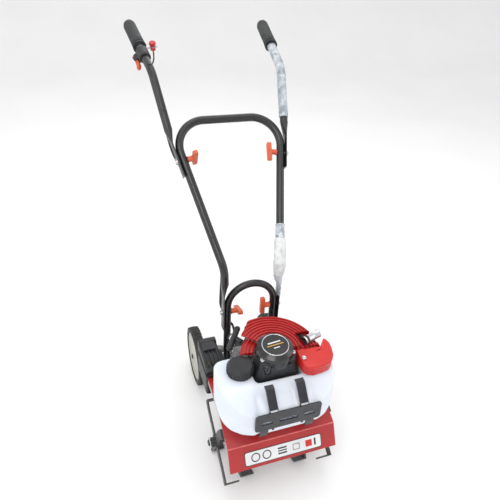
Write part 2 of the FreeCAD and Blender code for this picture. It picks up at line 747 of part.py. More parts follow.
def clutch():
    """Drum on the worm shaft, and two sprung shoes on the crankshaft inside it."""
    drum = new_body("clutch_drum", in_engine())
    revolve(drum, [
        (6.05, 136), (34, 136), (34, 160), (31, 160), (31, 140), (14, 140), (14, 148), (6.05, 148)])
    shoes = []
    for side in (-1, 1):
        ring = cylinder(Vector(0, 0, 151), Z_AXIS, 29.5, 8).cut(cylinder(Vector(0, 0, 151), Z_AXIS, 9.6, 8))
        keep = Part.makeBox(60, 27, 40, Vector(-30, 2 if side > 0 else -29, 130))
        shoes.append(ring.common(keep))
    add_shape("clutch_shoes", Part.makeCompound(shoes), in_engine())


# ---------------------------------------------------------------- engine


def crankcase():
    """Clutch bell, neck into the gearbox, crank chamber and the flange that the cylinder bolts to."""
    bell = dim.bell_radius.value
    low = dim.bell_z.value
    chamber = dim.case_z.value
    top = dim.case_top_z.value
    neck = cylinder(Vector(0, 0, 105.3), Z_AXIS, 26, low - 105.3)
    block = Part.makeBox(84, 84, top - chamber, Vector(-42, -40, chamber))
    block = block.makeFillet(8, [edge for edge in block.Edges if runs_along(Z_AXIS)(edge)])
    outside = neck.fuse([cylinder(Vector(0, 0, low), Z_AXIS, bell, chamber - low), block])
    inside = cylinder(Vector(0, 0, 100), Z_AXIS, 17, 40)
    inside = inside.fuse([
        cylinder(Vector(0, 0, low + 4), Z_AXIS, 38, chamber - low - 9),
        cylinder(Vector(0, 0, 172), Z_AXIS, 33, 48),
        cylinder(Vector(0, 0, 150), Z_AXIS, 10.3, 90),
        cylinder(Vector(0, 0, dim.cylinder_z.value), Y_AXIS, 25.5, 60)])
    add_shape("crankcase", outside.cut(inside), in_engine())


def engine_cylinder():
    """Finned barrel and head, lying to the rear; the sleeve reaches into the crank chamber."""
    frame = in_engine(Vector(0, 44.3, dim.cylinder_z.value), Rotation(X_AXIS, -90))
    body = new_body("cylinder", frame)
    bore = dim.bore / 2
    barrel = dim.bore / 2 + 5
    points = [(bore, -10), (bore + 5, -10), (bore + 5, 0), (27, 0), (27, 4), (barrel, 4), (barrel, 84),
              (7.2, 84), (7.2, 68), (bore, 64)]
    revolve(body, points)
    fin = pad_disc(body, "XY", (0, 0), 35, 2, offset=11, bore=barrel - 1)
    repeat_along(body, [fin], "Z", 66, 12)
    pad(body, "XY", rectangle((24, -16), (41, 16)), 36, offset=12)
    pad(body, "XY", rectangle((-41, -16), (-24, 16)), 36, offset=12)
    pocket_discs(body, "YZ", [(0, 30)], 9, 100, symmetric=True)


def crankshaft():
    """Journals, two full-disc webs and the flywheel seat."""
    body = new_body("crankshaft", in_engine())
    revolve(body, [
        (0, 150), (9.5, 150), (9.5, 178), (31, 178), (31, 187), (9.5, 187), (9.5, 189), (0, 189)])
    revolve(body, [
        (0, 203), (9.5, 203), (9.5, 205), (31, 205), (31, 214), (9.5, 214), (9.5, 254), (6, 256),
        (6, 272), (0, 272)])
    pad_disc(body, "XY", (0, 0), 6, 16, offset=188)


def piston():
    """Piston at the top of its stroke, its gudgeon pin, and the rod down to the crank's middle journal."""
    z = dim.cylinder_z.value
    y_crown = 44.3 + 61
    y_pin = y_crown - 18
    crown = dim.bore.value / 2 - 0.05
    skirt = cylinder(Vector(0, y_crown - 36, z), Y_AXIS, crown, 36)
    skirt = skirt.cut(cylinder(Vector(0, y_crown - 37, z), Y_AXIS, crown - 3, 32))
    for back in (5, 9):
        ring = cylinder(Vector(0, y_crown - back, z), Y_AXIS, crown + 1, 1.5)
        skirt = skirt.cut(ring.cut(cylinder(Vector(0, y_crown - back, z), Y_AXIS, crown - 1, 1.5)))
    pin = cylinder(Vector(-crown + 2, y_pin, z), X_AXIS, 5, 2 * crown - 4)
    eye = cylinder(Vector(0, 0, z - 5), Z_AXIS, 10.5, 10).cut(cylinder(Vector(0, 0, z - 6), Z_AXIS, 6.05, 12))
    small_end = cylinder(Vector(-5, y_pin, z), X_AXIS, 8, 10)
    shank = Part.makeBox(6, y_pin - 9, 7, Vector(-3, 9, z - 3.5))
    add_shape("piston", skirt.fuse([pin, small_end, shank, eye]), in_engine())


def flywheel():
    """Magneto flywheel with twelve cooling blades."""
    body = new_body("flywheel", in_engine())
    low = dim.flywheel_z
    rim = dim.flywheel_radius
    revolve(body, [(9.6, low), (rim, low), (rim, low + 8), (15, low + 8), (15, low + 22), (9.6, low + 22)])
    blade = pad(body, "XY", rectangle((20, -1.2), (rim - 1, 1.2)), 14, offset=low + 8)
    repeat_round(body, [blade], 12)


def starter_pulley():
    body = new_body("starter_pulley", in_engine())
    revolve(body, [
        (6.3, 276), (30, 276), (30, 279), (24, 280), (24, 284), (30, 285), (30, 288), (6.3, 288)])


def engine_shroud():
    """Ribbed red fan cover: a shallow cone with raised rings, open towards the front left."""
    low = dim.shroud_low_z
    rim = dim.shroud_radius
    top = dim.shroud_top_z
    wall = 3
    inner = dim.starter_radius + 0.3
    body = new_body("engine_shroud", in_engine(turn=Rotation(Z_AXIS, -4)))
    ring_pitch = (rim - inner) / 8
    upper = [(inner, top + 5 - wall), (inner, top + 5)]
    for ring in range(1, 8):
        middle = inner + ring_pitch * ring
        height = top + 5 - ring * 1.1
        upper += [(middle - 2.6, height - 0.2), (middle - 1.8, height + 2.4),
                  (middle + 1.8, height + 2.2), (middle + 2.6, height - 0.8)]
    upper += [(rim - 4, top - 4), (rim, top - 9), (rim, low)]
    lower = [(rim - wall, low), (rim - wall, top - 10), (rim - 6, top - 7)]
    revolve(body, upper + lower, angle=138)
    # room for the exhaust outlet, for the tank's lobe under the skirt, and for the starter grip
    pocket(body, "XY", [(66, -6), (130, 12), (130, 52), (66, 44)], 36, offset=top + 20)
    pocket(body, "XY", [(85, -20), (135, -20), (135, 62), (85, 62)], 60, offset=258)
    pocket(body, "XY", [(-124, 40), (-94, 24), (-36, 118), (-66, 146)], 90, offset=top + 20)


def starter_cap():
    """Black starter cover: a stepped dome with a shallow ring groove on top."""
    body = new_body("starter_cap", in_engine())
    rim = dim.starter_radius
    top = dim.starter_top_z
    wall = 2.5
    revolve(body, [
        (rim - 2.6, 275), (rim, 275), (rim, top - 16), (rim - 3, top - 8), (rim - 10, top - 3),
        (34.5, top - 1), (34, top), (31.5, top), (31, top - 1), (0, top - 1), (0, top - 1 - wall),
        (33, top - 1 - wall),
        (rim - 12, top - 6), (rim - 5.5, top - 10), (rim - 2.6, top - 17)])


def front_cowl():
    """Black front cowl under the starter cap: a tapered hood that drops into the tank's saddle."""

    def section(half, front, back, corner, z):
        points = [Vector(-half, back, z), Vector(-half, front + corner, z), Vector(-half + corner, front, z),
                  Vector(half - corner, front, z), Vector(half, front + corner, z), Vector(half, back, z)]
        return Part.makePolygon(points + points[:1])

    outside = Part.makeLoft([section(58, -48, 6, 12, 229), section(46, -40, 2, 12, 296)], True, True)
    inside = Part.makeLoft([section(55, -45, 9, 11, 228), section(43, -37, 5, 11, 293)], True, True)
    cap_room = cylinder(Vector(0, 0, 260), Z_AXIS, dim.starter_radius.value + 0.3, 60)
    add_shape("front_cowl", outside.cut(inside.fuse(cap_room)), in_engine())


def side_panel():
    """Red right-hand cover over the muffler, with level ribs on its front and side."""
    body = new_body("side_panel", in_engine())
    low = 258
    height = 30
    outline = [(54, -9), (56, -60), (78, -74), (124, -68), (142, -46), (149, -8), (139, 12), (128, -14)]
    pad(body, "XY", outline, height, offset=low)
    inner = [(57, -12), (59, -58.5), (79, -70.8), (122.5, -65), (139, -45), (145.6, -9), (139, 2), (126, -17)]
    pocket(body, "XY", inner, height - 3, offset=low - 1, reverse=True)
    dress(body, "Chamfer", 2.5, lambda edge: edge.BoundBox.ZMin > low + height - 0.1)


def muffler():
    """Silencer box beside the cylinder, with a pipe up to the round outlet above the cover."""
    box = Part.makeBox(50, 54, 52, Vector(43, 44, 172))
    box = box.makeFillet(8, [edge for edge in box.Edges if edge.Length > 45])
    hollow = Part.makeBox(46, 50, 48, Vector(45, 46, 174))
    port = cylinder(Vector(38, 74.3, dim.cylinder_z.value), X_AXIS, 9, 8)
    top = Vector(92, 9.4, dim.shroud_top_z.value + 4)
    foot = Vector(84, 53, 220)
    turn = Vector(84, 53, 264)
    upright = cylinder(foot, Z_AXIS, 7, 44)
    slant = (top - turn).normalize()
    riser = upright.fuse([Part.makeSphere(7, turn), cylinder(turn, slant, 7, (top - turn).Length)])
    riser_bore = cylinder(foot - Z_AXIS * 4, Z_AXIS, 5, 48).fuse([
        Part.makeSphere(5, turn), cylinder(turn, slant, 5, (top - turn).Length)])
    outlet_start = Vector(84, 6.6, top.z)
    outlet_way = Vector(40, 14, 0).normalize()
    outlet = cylinder(outlet_start, outlet_way, 10, 46)
    outlet_bore = cylinder(outlet_start - outlet_way, outlet_way, 8, 48)
    shell = box.cut(hollow).fuse([riser, outlet]).cut(riser_bore.fuse([outlet_bore, port]))
    add_shape("muffler", shell, in_engine())


def carburettor():
    """Carburettor and its heat block, between the cylinder's inlet and the air cleaner."""
    z = dim.cylinder_z.value
    block = Part.makeBox(30, 40, 40, Vector(-76, 54.3, z - 20))
    spigot = cylinder(Vector(-46, 74.3, z), X_AXIS, 12, 4.7)
    horn = cylinder(Vector(-82, 74.3, z), X_AXIS, 12, 8)
    bowl = cylinder(Vector(-61, 74.3, z - 32), Z_AXIS, 14, 14)
    arm = cylinder(Vector(-61, 74.3, z + 20), Z_AXIS, 5, 8)
    body = block.fuse([spigot, horn, bowl, arm]).cut(cylinder(Vector(-90, 74.3, z), X_AXIS, 8, 60))
    add_shape("carburettor", body, in_engine())


def spark_plug():
    """Plug screwed into the head, with its rubber boot turned up."""
    z = dim.cylinder_z.value
    y_head = 44.3 + 68.5
    thread = cylinder(Vector(0, y_head, z), Y_AXIS, 7, 16)
    hexagon = cylinder(Vector(0, y_head + 16, z), Y_AXIS, 10, 8)
    boot = cylinder(Vector(0, y_head + 24, z), Y_AXIS, 9, 14)
    riser = cylinder(Vector(0, y_head + 31, z), Z_AXIS, 9, 40)
    dome = Part.makeSphere(9, Vector(0, y_head + 31, z + 40))
    add_shape("spark_plug", thread.fuse([hexagon, boot, riser, dome]), in_engine())


def starter_grip():
    """Pull handle across the rope's line, parked against the left rear of the shroud."""
    pull = STARTER_PULL
    bar_centre = STARTER_GRIP
    across = STARTER_BAR
    bar = cylinder(bar_centre - across * 34, across, 8, 68)
    caps = [Part.makeSphere(8, bar_centre + across * end) for end in (-34, 34)]
    stem = cylinder(bar_centre - pull * 22, pull, 5, 22)
    add_shape("starter_grip", bar.fuse(caps + [stem]), in_engine())


STARTER_PULL = Vector(-42, 52, 0).normalize()
STARTER_BAR = Vector(39, 59, 0).normalize()
STARTER_GRIP = Vector(-79, 86, 262)


# ---------------------------------------------------------------- guard, tank, wheels


def tine_guard():
    """Bent sheet over the tines: sloping front, crease, rising top, level back, with side flanges."""
    body = new_body("tine_guard")
    top = [(dim.guard_lip_y, dim.guard_lip_z), (dim.crease_y, dim.crease_z),
           (dim.guard_top_y, dim.guard_top_z), (dim.guard_back_y, dim.guard_top_z)]
    under = [(dim.guard_back_y, dim.guard_top_z - dim.sheet),
             (dim.guard_top_y + 0.5, dim.guard_top_z - dim.sheet),
             (dim.crease_y + 1.2, dim.crease_z - dim.sheet * 1.3),
             (dim.guard_lip_y + dim.sheet, dim.guard_lip_z - 0.6)]
    pad(body, "YZ", top + under, dim.guard_half_width * 2, symmetric=True)
    # round opening for the gearbox column and the engine's neck
    pocket_discs(body, "XY", [(0, -41)], 44, 60, offset=dim.guard_top_z + 30)
    pocket_discs(body, "XY", [(-30, 36), (30, 36)], 4.2, 60, offset=dim.guard_top_z + 30)
    return body


def tank_bracket():
    """Black bumper: a slotted plate with two fingers over the tank and two feet down to the guard."""
    body = new_body("tank_bracket")
    front = dim.tank_front_y - 3.5
    half = dim.bracket_half_width
    low = dim.bracket_low_z
    top = dim.bracket_top_z
    plate = [(-half, low), (half, low), (half, top - 8), (half - 8, top), (-half + 8, top), (-half, top - 8)]
    pad(body, "XZ", plate, 3, offset=-front)
    finger_path = [(front, top - 20), (front, 323.5), (-141, 359.3), (-130, 361), (-130, 356.5),
                   (-138.2, 356.5), (front + 3.1, 322.3), (front + 3, top - 20)]
    for middle in (-39, 39):
        pad(body, "YZ", finger_path, 22, offset=middle - 11)
    for start, stop in ((-70, -40), (-24, 24), (40, 70)):
        pocket(body, "XZ", rectangle((start, low + 19), (stop, low + 30)), 20, offset=-front - 5)
    # small tabs under the plate, bent up from it
    for middle in (-56, -38, 38, 56):
        pad(body, "XZ", rectangle((middle - 3, low - 5), (middle + 3, low + 2)), 3, offset=-front)
    for middle in (-60, 60):
        foot = [(front, low + 10), (front + 3, low + 10), (front + 3, 253), (-168, 233.6), (-128, 233.6),
                (-123, 207.6), (-126, 206.2), (-131, 231), (-171, 231), (front, 251)]
        pad(body, "YZ", foot, 20, offset=middle - 10)
    return body


def fuel_tank():
    """Saddle tank: two lobes that reach back on each side of the engine, joined across the front."""
    body = new_body("fuel_tank")
    half = dim.tank_half_width
    gap = dim.saddle_half_width
    front = dim.tank_front_y
    outline = [(-gap, dim.saddle_y), (-gap, dim.tank_back_y), (-half + 10, dim.tank_back_y), (-half, -60),
               (-half, -96), (-half + 14, -134), (-half + 45, front + 8), (-half + 80, front),
               (half - 80, front), (half - 45, front + 8), (half - 14, -134), (half, -96), (half, -60),
               (half - 10, dim.tank_back_y), (gap, dim.tank_back_y), (gap, dim.saddle_y)]
    pad(body, "XY", outline, dim.tank_top_z - dim.tank_low_z, offset=dim.tank_low_z)
    top = dim.tank_top_z
    slope = [(front - 10, 322), (front, 322), (-138, top), (-138, top + 20), (front - 10, top + 20)]
    pocket(body, "YZ", slope, half * 2 + 40, symmetric=True)
    dress(body, "Fillet", 22, lambda edge: runs_along(Z_AXIS)(edge) and abs(edge.BoundBox.Center.x) > 130)
    dress(body, "Fillet", 18, lambda edge: edge.BoundBox.ZMax < dim.tank_low_z.value + 0.1)
    dress(body, "Fillet", 16, lambda edge: edge.BoundBox.ZMin > top.value - 0.1
          and edge.BoundBox.Center.y > -137)
    neck = (dim.filler_x, dim.filler_y)
    pad_disc(body, "XY", neck, 26, 12, offset=top - 4)
    pocket_discs(body, "XY", [neck], 22, 26, offset=top + 9)
    return body


def fuel_cap():
    """Black filler cap with a ribbed rim; its skirt goes down round the neck."""
    top = dim.tank_top_z
    place = Vector(dim.filler_x.value, dim.filler_y.value, top.value)
    body = new_body("fuel_cap", Placement(place, Rotation()))
    rim = dim.fuel_cap_radius
    revolve(body, [(27, 1), (rim - 1.5, 1), (rim - 1.5, 20), (rim - 5, 24), (0, 24), (0, 12), (27, 12)])
    rib = pad(body, "XY", rectangle((rim - 3, -1.5), (rim, 1.5)), 17, offset=2)
    repeat_round(body, [rib], 24)


def air_cleaner():
    """Lower housing with upright ribs, and the stepped cover over it."""
    half = dim.filter_width / 2
    low = dim.filter_low_z
    top = dim.filter_top_z
    split = top - 34
    front = dim.filter_front_y
    back = dim.filter_back_y
    centre = dim.filter_x
    base = new_body("filter_base")
    pad(base, "XY", rectangle((centre - half, front), (centre + half, back)), split - low, offset=low)
    pocket(base, "XY", rectangle((centre - half + 3, front + 3), (centre + half - 3, back - 3)),
           split - low - 3, offset=split + 1)
    dress(base, "Fillet", 6, lambda edge: runs_along(Z_AXIS)(edge)
          and edge.Length > split.value - low.value - 1)
    rib = pad(base, "XZ", rectangle((centre - half + 7, low + 6), (centre - half + 9, split - 6)), 2.5,
              offset=-front - 0.5)
    repeat_along(base, [rib], "X", 36, 5)
    cover = new_body("filter_cover")
    profile = [(front, split + 0.3), (back, split + 0.3), (back, top + 2), (back - 14, top + 2),
               (back - 20, top - 6), (front + 36, top - 8), (front + 8, top - 18), (front, top - 24)]
    pad(cover, "YZ", profile, dim.filter_width, offset=centre - half)
    dress(cover, "Fillet", 5, lambda edge: edge.BoundBox.ZMin > split.value + 5
          and not runs_along(X_AXIS)(edge))


def wheel_frame():
    """Plate under the guard, two side bars back and down to the wheel axle, and the axle's sleeve."""
    bar_x = 50.5
    thickness = 5
    back = dim.wheel_y.value
    low = dim.wheel_radius.value
    top = dim.guard_top_z.value - dim.sheet.value - 0.3
    outline = [(-10, top), (152, top), (back + 14, low + 14), (back + 14, low - 12), (back - 12, low - 12),
               (126, top - 32), (-10, top - 14)]
    shapes = [Part.makeBox(124, 130, 5, Vector(-62, -70, top - 5))]
    for start in (bar_x, -bar_x - thickness):
        corners = [Vector(start, y, z) for y, z in outline]
        shapes.append(Part.Face(Part.makePolygon(corners + corners[:1])).extrude(X_AXIS * thickness))
    shapes.append(cylinder(Vector(-bar_x - 2, back, low), X_AXIS, 11, 2 * bar_x + 4))
    frame = shapes[0].fuse(shapes[1:])
    holes = [cylinder(Vector(-200, back, low), X_AXIS, dim.axle_d.value / 2 + 0.05, 400),
             cylinder(Vector(-200, dim.arch_y.value, dim.arch_foot_z.value + 16), X_AXIS, 4.2, 400),
             cylinder(Vector(0, -41, 200), Z_AXIS, 44, 40)]
    holes += [cylinder(Vector(x, 36, 200), Z_AXIS, 4.2, 40) for x in (-30, 30)]
    add_shape("wheel_frame", frame.cut(holes[0].fuse(holes[1:])).removeSplitter())


def base_bolts():
    """Studs between gear case and engine, screws of the guard, bolts of the arch's feet and pivots."""
    studs = []
    for x, y in ((34, 0), (-34, 0), (0, 36), (0, -36)):
        nut = cylinder(Vector(x, y, 105.3), Z_AXIS, 6, 5)
        studs.append(cylinder(Vector(x, y, 86), Z_AXIS, 3, 43.5).fuse(nut))
    bolts = [in_engine_shape(stud) for stud in studs]
    for x in (-30, 30):
        bolts.append(cylinder(Vector(x, 36, 212), Z_AXIS, 4, 21).fuse(
            [cylinder(Vector(x, 36, 216), Z_AXIS, 7, 6), cylinder(Vector(x, 36, 230.3), Z_AXIS, 7, 5)]))
    z = dim.arch_foot_z.value + 16
    for side in (-1, 1):
        start = Vector(side * 40, dim.arch_y.value, z)
        bolt = cylinder(start, X_AXIS * side, 4, 46)
        head = cylinder(start + X_AXIS * (side * 37), X_AXIS * side, 7, 5)
        nut = cylinder(start + X_AXIS * (side * 4), X_AXIS * side, 7, 6)
        bolts.append(bolt.fuse([head, nut]))
        bolts.append(handle_bolt(mirrored(LOWER_PIVOT, side), X_AXIS * side, dim.arch_od.value / 2))
    add_shape("base_bolts", Part.makeCompound(bolts))


def in_engine_shape(shape):
    moved = shape.copy()
    moved.Placement = ENGINE.multiply(shape.Placement)
    return moved


def wheel_axle():
    centre = Vector(0, dim.wheel_y.value, dim.wheel_radius.value)
    body = new_body("wheel_axle", Placement(centre, ALONG_X))
    pad_disc(body, "XY", (0, 0), dim.axle_d / 2, dim.tyre_outer_x * 2 + 10, symmetric=True)
    dress(body, "Chamfer", 1, lambda edge: abs(edge.BoundBox.Center.z) > 145)


def wheel(name, side):
    """Pale wheel disc with a hub, and a treaded tyre on its rim."""
    width = dim.tyre_width
    middle = dim.tyre_outer_x.value - width.value / 2
    turn = ALONG_X if side > 0 else Rotation(Y_AXIS, -90)
    frame = Placement(Vector(side * middle, dim.wheel_y.value, dim.wheel_radius.value), turn)
    hub = new_body("wheel_" + name, frame)
    rim = dim.rim_radius
    bore = dim.axle_d / 2 + 0.05
    revolve(hub, [
        (bore, -22), (14, -22), (16, -8), (rim - 8, -6), (rim - 6, -width / 2 + 3), (rim, -width / 2 + 3),
        (rim, width / 2 - 3), (rim - 5, width / 2 - 3), (rim - 8, 9), (18, 11), (14, 15), (bore, 15)])
    tyre = new_body("tyre_" + name, frame)
    outer = dim.wheel_radius
    revolve(tyre, [
        (rim + 0.05, -width / 2 + 3), (rim + 6, -width / 2 + 0.5), (outer - 6, -width / 2),
        (outer - 1.5, -width / 2 + 3),
        (outer, -width / 2 + 7), (outer, width / 2 - 7), (outer - 1.5, width / 2 - 3), (outer - 6, width / 2),
        (rim + 6, width / 2 - 0.5), (rim + 0.05, width / 2 - 3)])


# ---------------------------------------------------------------- controls


def control_frame(distance, roll=0):
    """Frame on the last run of the left upper handle: Z towards the operator, X outboard, Y up."""
    turn = Placement(Vector(0, 0, -distance - dim.grip_length.value), Rotation(Z_AXIS, roll))
    return grip_frame(-1).multiply(turn)


def throttle_housing():
    """Split clamp with two ears, low on the outboard side, that carry the throttle trigger."""
    body = new_body("throttle_housing", control_frame(44, TRIGGER_ROLL))
    bore = dim.tube_od / 2 + 0.05
    revolve(body, [(bore, -16), (15, -16), (16.5, -12), (16.5, 24), (15, 28), (bore, 28)])
    for offset in (-8.5, 4.5):
        pad(body, "XZ", [(12, -2), (30, 8), (31, 22), (24, 28), (12, 26)], 4, offset=offset)
    pocket_discs(body, "XZ", [(25, 18)], 1.6, 60, symmetric=True)
    pocket_discs(body, "XY", [(0, 0)], bore, 60, symmetric=True)


TRIGGER_ROLL = -40


def throttle_trigger():
    """Orange squeeze lever on a cross pin under the tube."""
    body = new_body("throttle_trigger", control_frame(44, TRIGGER_ROLL))
    lever = [(20.5, 22), (29, 22), (30, 4), (31.5, -14), (34, -28), (28, -30), (22.5, -20), (20.5, 0)]
    pad(body, "XZ", lever, 8, symmetric=True)
    pad_disc(body, "XZ", (25, 18), 1.5, 22, symmetric=True)


def switch_clamp():
    """Plated band round the tube with a plate to the inboard side that carries the stop button."""
    body = new_body("switch_clamp", control_frame(8))
    bore = dim.tube_od / 2 + 0.05
    revolve(body, [(bore, -6.5), (bore + 1.5, -6.5), (bore + 1.5, 6.5), (bore, 6.5)])
    plate = [(-46, -9), (-21, -9), (-18, -6), (-11.5, -6), (-11.5, 6), (-18, 6), (-21, 9), (-46, 9)]
    pad(body, "XZ", plate, 2, offset=-4)
    pocket_discs(body, "XZ", [(-34, 0)], 6.1, 30, offset=-16, reverse=True)


def kill_button():
    """Red stop button; its stem slides in the plate's hole and its boot hangs below."""
    frame = control_frame(8).multiply(Placement(Vector(-34, 0, 0), Rotation(X_AXIS, -90)))
    body = new_body("kill_button", frame)
    revolve(body, [(0, -8), (7.5, -8), (7.5, 1.5), (6, 1.5), (6, 8), (9.5, 8), (9.5, 13), (8, 15), (0, 15)])


def controls():
    throttle_housing()
    throttle_trigger()
    switch_clamp()
    kill_button()


# ---------------------------------------------------------------- build and export

base_arch()
lower_handle()
for handle_side, sign in SIDES.items():
    upper_handle(handle_side, sign)
    grip(handle_side, sign)
    wheel(handle_side, sign)
upper_pivot_bolts()
wing_knobs()
packing()
cables()
tines()
tine_shaft()
tine_clips()
worm_wheel()
worm_shaft()
shaft_bearings()
gearbox_half("gearbox_housing", -1)
gearbox_half("gearbox_cover", 1)
clutch()
crankcase()
engine_cylinder()
crankshaft()
piston()
flywheel()
starter_pulley()
engine_shroud()
starter_cap()
front_cowl()
side_panel()
muffler()
carburettor()
spark_plug()
starter_grip()
tine_guard()
tank_bracket()
fuel_tank()
fuel_cap()
air_cleaner()
wheel_frame()
base_bolts()
wheel_axle()
controls()

doc.recompute()
failed = [thing.Label for thing in doc.Objects if {"Invalid", "Error"} & set(thing.State)]
assert not failed, f"these objects did not compute: {failed}"
os.makedirs("parts", exist_ok=True)
for node in nodes:
    assert not node.Shape.isNull() and node.Shape.isValid(), f"{node.Label} has no valid shape"
    node.Shape.exportStep(f"parts/{node.Label}.step")
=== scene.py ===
"""Looks of the mini cultivator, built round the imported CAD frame. Metres, +Z up, operator at +Y."""
import math

import bmesh
import bpy
from mathutils import Matrix, Vector, noise


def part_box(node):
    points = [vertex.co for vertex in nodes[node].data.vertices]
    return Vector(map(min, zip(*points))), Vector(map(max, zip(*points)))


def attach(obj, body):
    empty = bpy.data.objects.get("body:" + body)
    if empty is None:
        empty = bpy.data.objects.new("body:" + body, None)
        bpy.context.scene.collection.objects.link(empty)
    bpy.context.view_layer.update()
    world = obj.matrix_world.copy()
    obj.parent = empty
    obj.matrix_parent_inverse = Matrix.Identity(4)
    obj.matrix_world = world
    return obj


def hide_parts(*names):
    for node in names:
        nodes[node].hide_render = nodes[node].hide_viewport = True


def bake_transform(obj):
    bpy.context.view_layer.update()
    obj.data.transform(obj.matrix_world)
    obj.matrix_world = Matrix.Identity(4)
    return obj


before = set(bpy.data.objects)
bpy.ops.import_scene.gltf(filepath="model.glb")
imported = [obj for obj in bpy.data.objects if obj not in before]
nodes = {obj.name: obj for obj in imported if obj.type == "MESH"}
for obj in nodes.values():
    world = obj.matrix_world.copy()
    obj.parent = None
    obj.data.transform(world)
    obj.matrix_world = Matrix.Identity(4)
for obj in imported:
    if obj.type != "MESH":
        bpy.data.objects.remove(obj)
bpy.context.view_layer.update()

MM = 0.001
SIDE_NAME = {-1: "left", 1: "right"}


# ---------------------------------------------------------------- camera


def aim_camera():
    """The camera of the product shot: above and to the front left, with a slight roll."""
    eye = Vector((-0.356, -0.836, 1.234))
    target = Vector((0.033, 0.247, 0.496))
    roll = math.radians(2.8)
    back = (eye - target).normalized()
    right = Vector((0, 0, 1)).cross(back).normalized()
    up = back.cross(right)
    right_rolled = right * math.cos(roll) + up * math.sin(roll)
    up_rolled = up * math.cos(roll) - right * math.sin(roll)
    camera_data = bpy.data.cameras.new("camera")
    camera_data.sensor_width = 36
    camera_data.lens = 34.0
    camera = bpy.data.objects.new("camera", camera_data)
    bpy.context.scene.collection.objects.link(camera)
    turn = Matrix((right_rolled, up_rolled, back)).transposed().to_4x4()
    camera.matrix_world = Matrix.Translation(eye) @ turn
    bpy.context.scene.camera = camera


aim_camera()


# ---------------------------------------------------------------- materials


# width of the lighter edges: edge wear, and partly a painted highlight
EDGE_WEAR_AND_HIGHLIGHT_WIDTH = 0.0012


class Shader:
    """A Principled material with short calls for the nodes that every finish here uses."""

    def __init__(self, name, color, roughness=0.5, metallic=0.0, coat=0.0, specular=0.5):
        self.material = bpy.data.materials.new(name)
        self.material.use_nodes = True
        self.tree = self.material.node_tree
        self.principled = self.tree.nodes["Principled BSDF"]
        self.color = color
        self.principled.inputs["Base Color"].default_value = (*color, 1)
        self.principled.inputs["Roughness"].default_value = roughness
        self.principled.inputs["Metallic"].default_value = metallic
        self.principled.inputs["Coat Weight"].default_value = coat
        self.principled.inputs["Coat Roughness"].default_value = 0.12
        self.principled.inputs["Specular IOR Level"].default_value = specular
        self.normal = None

    def node(self, kind, **inputs):
        made = self.tree.nodes.new(kind)
        for key, value in inputs.items():
            made.inputs[key].default_value = value
        return made

    def link(self, start, end):
        self.tree.links.new(start, end)

    def noise(self, scale, stretch=(1, 1, 1)):
        """A noise fixed to the object, with its own scale along each axis."""
        coordinates = self.node("ShaderNodeTexCoord")
        mapping = self.node("ShaderNodeMapping", Scale=stretch)
        made = self.node("ShaderNodeTexNoise", Scale=scale, Detail=4.0)
        self.link(coordinates.outputs["Object"], mapping.inputs["Vector"])
        self.link(mapping.outputs["Vector"], made.inputs["Vector"])
        return made.outputs["Fac"]

    def range(self, value, low, high, start=0.3, stop=0.7):
        made = self.node("ShaderNodeMapRange")
        made.inputs["From Min"].default_value = start
        made.inputs["From Max"].default_value = stop
        made.inputs["To Min"].default_value = low
        made.inputs["To Max"].default_value = high
        self.link(value, made.inputs["Value"])
        return made.outputs["Result"]

    def mottle(self, other, scale, start=0.35, stop=0.65, stretch=(1, 1, 1)):
        """Blends the colour so far with another one by a noise."""
        self.blend_colour(other, self.range(self.noise(scale, stretch), 0.0, 1.0, start, stop))
        return self

    def blend_colour(self, other, factor):
        mix = self.node("ShaderNodeMix")
        mix.data_type = "RGBA"
        # the colour sockets of a mix node share their names with its number sockets
        share, first, second, result = mix.inputs[0], mix.inputs[6], mix.inputs[7], mix.outputs[2]
        socket = self.principled.inputs["Base Color"]
        if socket.is_linked:
            self.link(socket.links[0].from_socket, first)
        else:
            first.default_value = (*self.color, 1)
        second.default_value = (*other, 1)
        self.link(factor, share)
        self.link(result, socket)

    def edge_wear_and_highlight(self, other, amount=0.7):
        """Lightens the colour where a rounded normal departs from the true one: along the edges. This is edge
        wear, and on the red guard and the black mouldings partly a painted highlight too.
        """
        bevel = self.node("ShaderNodeBevel", Radius=EDGE_WEAR_AND_HIGHLIGHT_WIDTH)
        bevel.samples = 3
        geometry = self.node("ShaderNodeNewGeometry")
        agree = self.node("ShaderNodeVectorMath")
        agree.operation = "DOT_PRODUCT"
        self.link(bevel.outputs["Normal"], agree.inputs[0])
        self.link(geometry.outputs["Normal"], agree.inputs[1])
        self.blend_colour(other, self.range(agree.outputs["Value"], amount, 0.0, 0.72, 0.97))
        return self

    def rough(self, low, high, scale):
        self.link(self.range(self.noise(scale), low, high), self.principled.inputs["Roughness"])
        return self

    def grain(self, scale, strength, distance, stretch=(1, 1, 1)):
        """Adds a noise bump, on top of any bump before it."""
        made = self.node("ShaderNodeBump", Strength=strength, Distance=distance)
        self.link(self.noise(scale, stretch), made.inputs["Height"])
        if self.normal:
            self.link(self.normal, made.inputs["Normal"])
        self.normal = made.outputs["Normal"]
        self.link(self.normal, self.principled.inputs["Normal"])
        return self


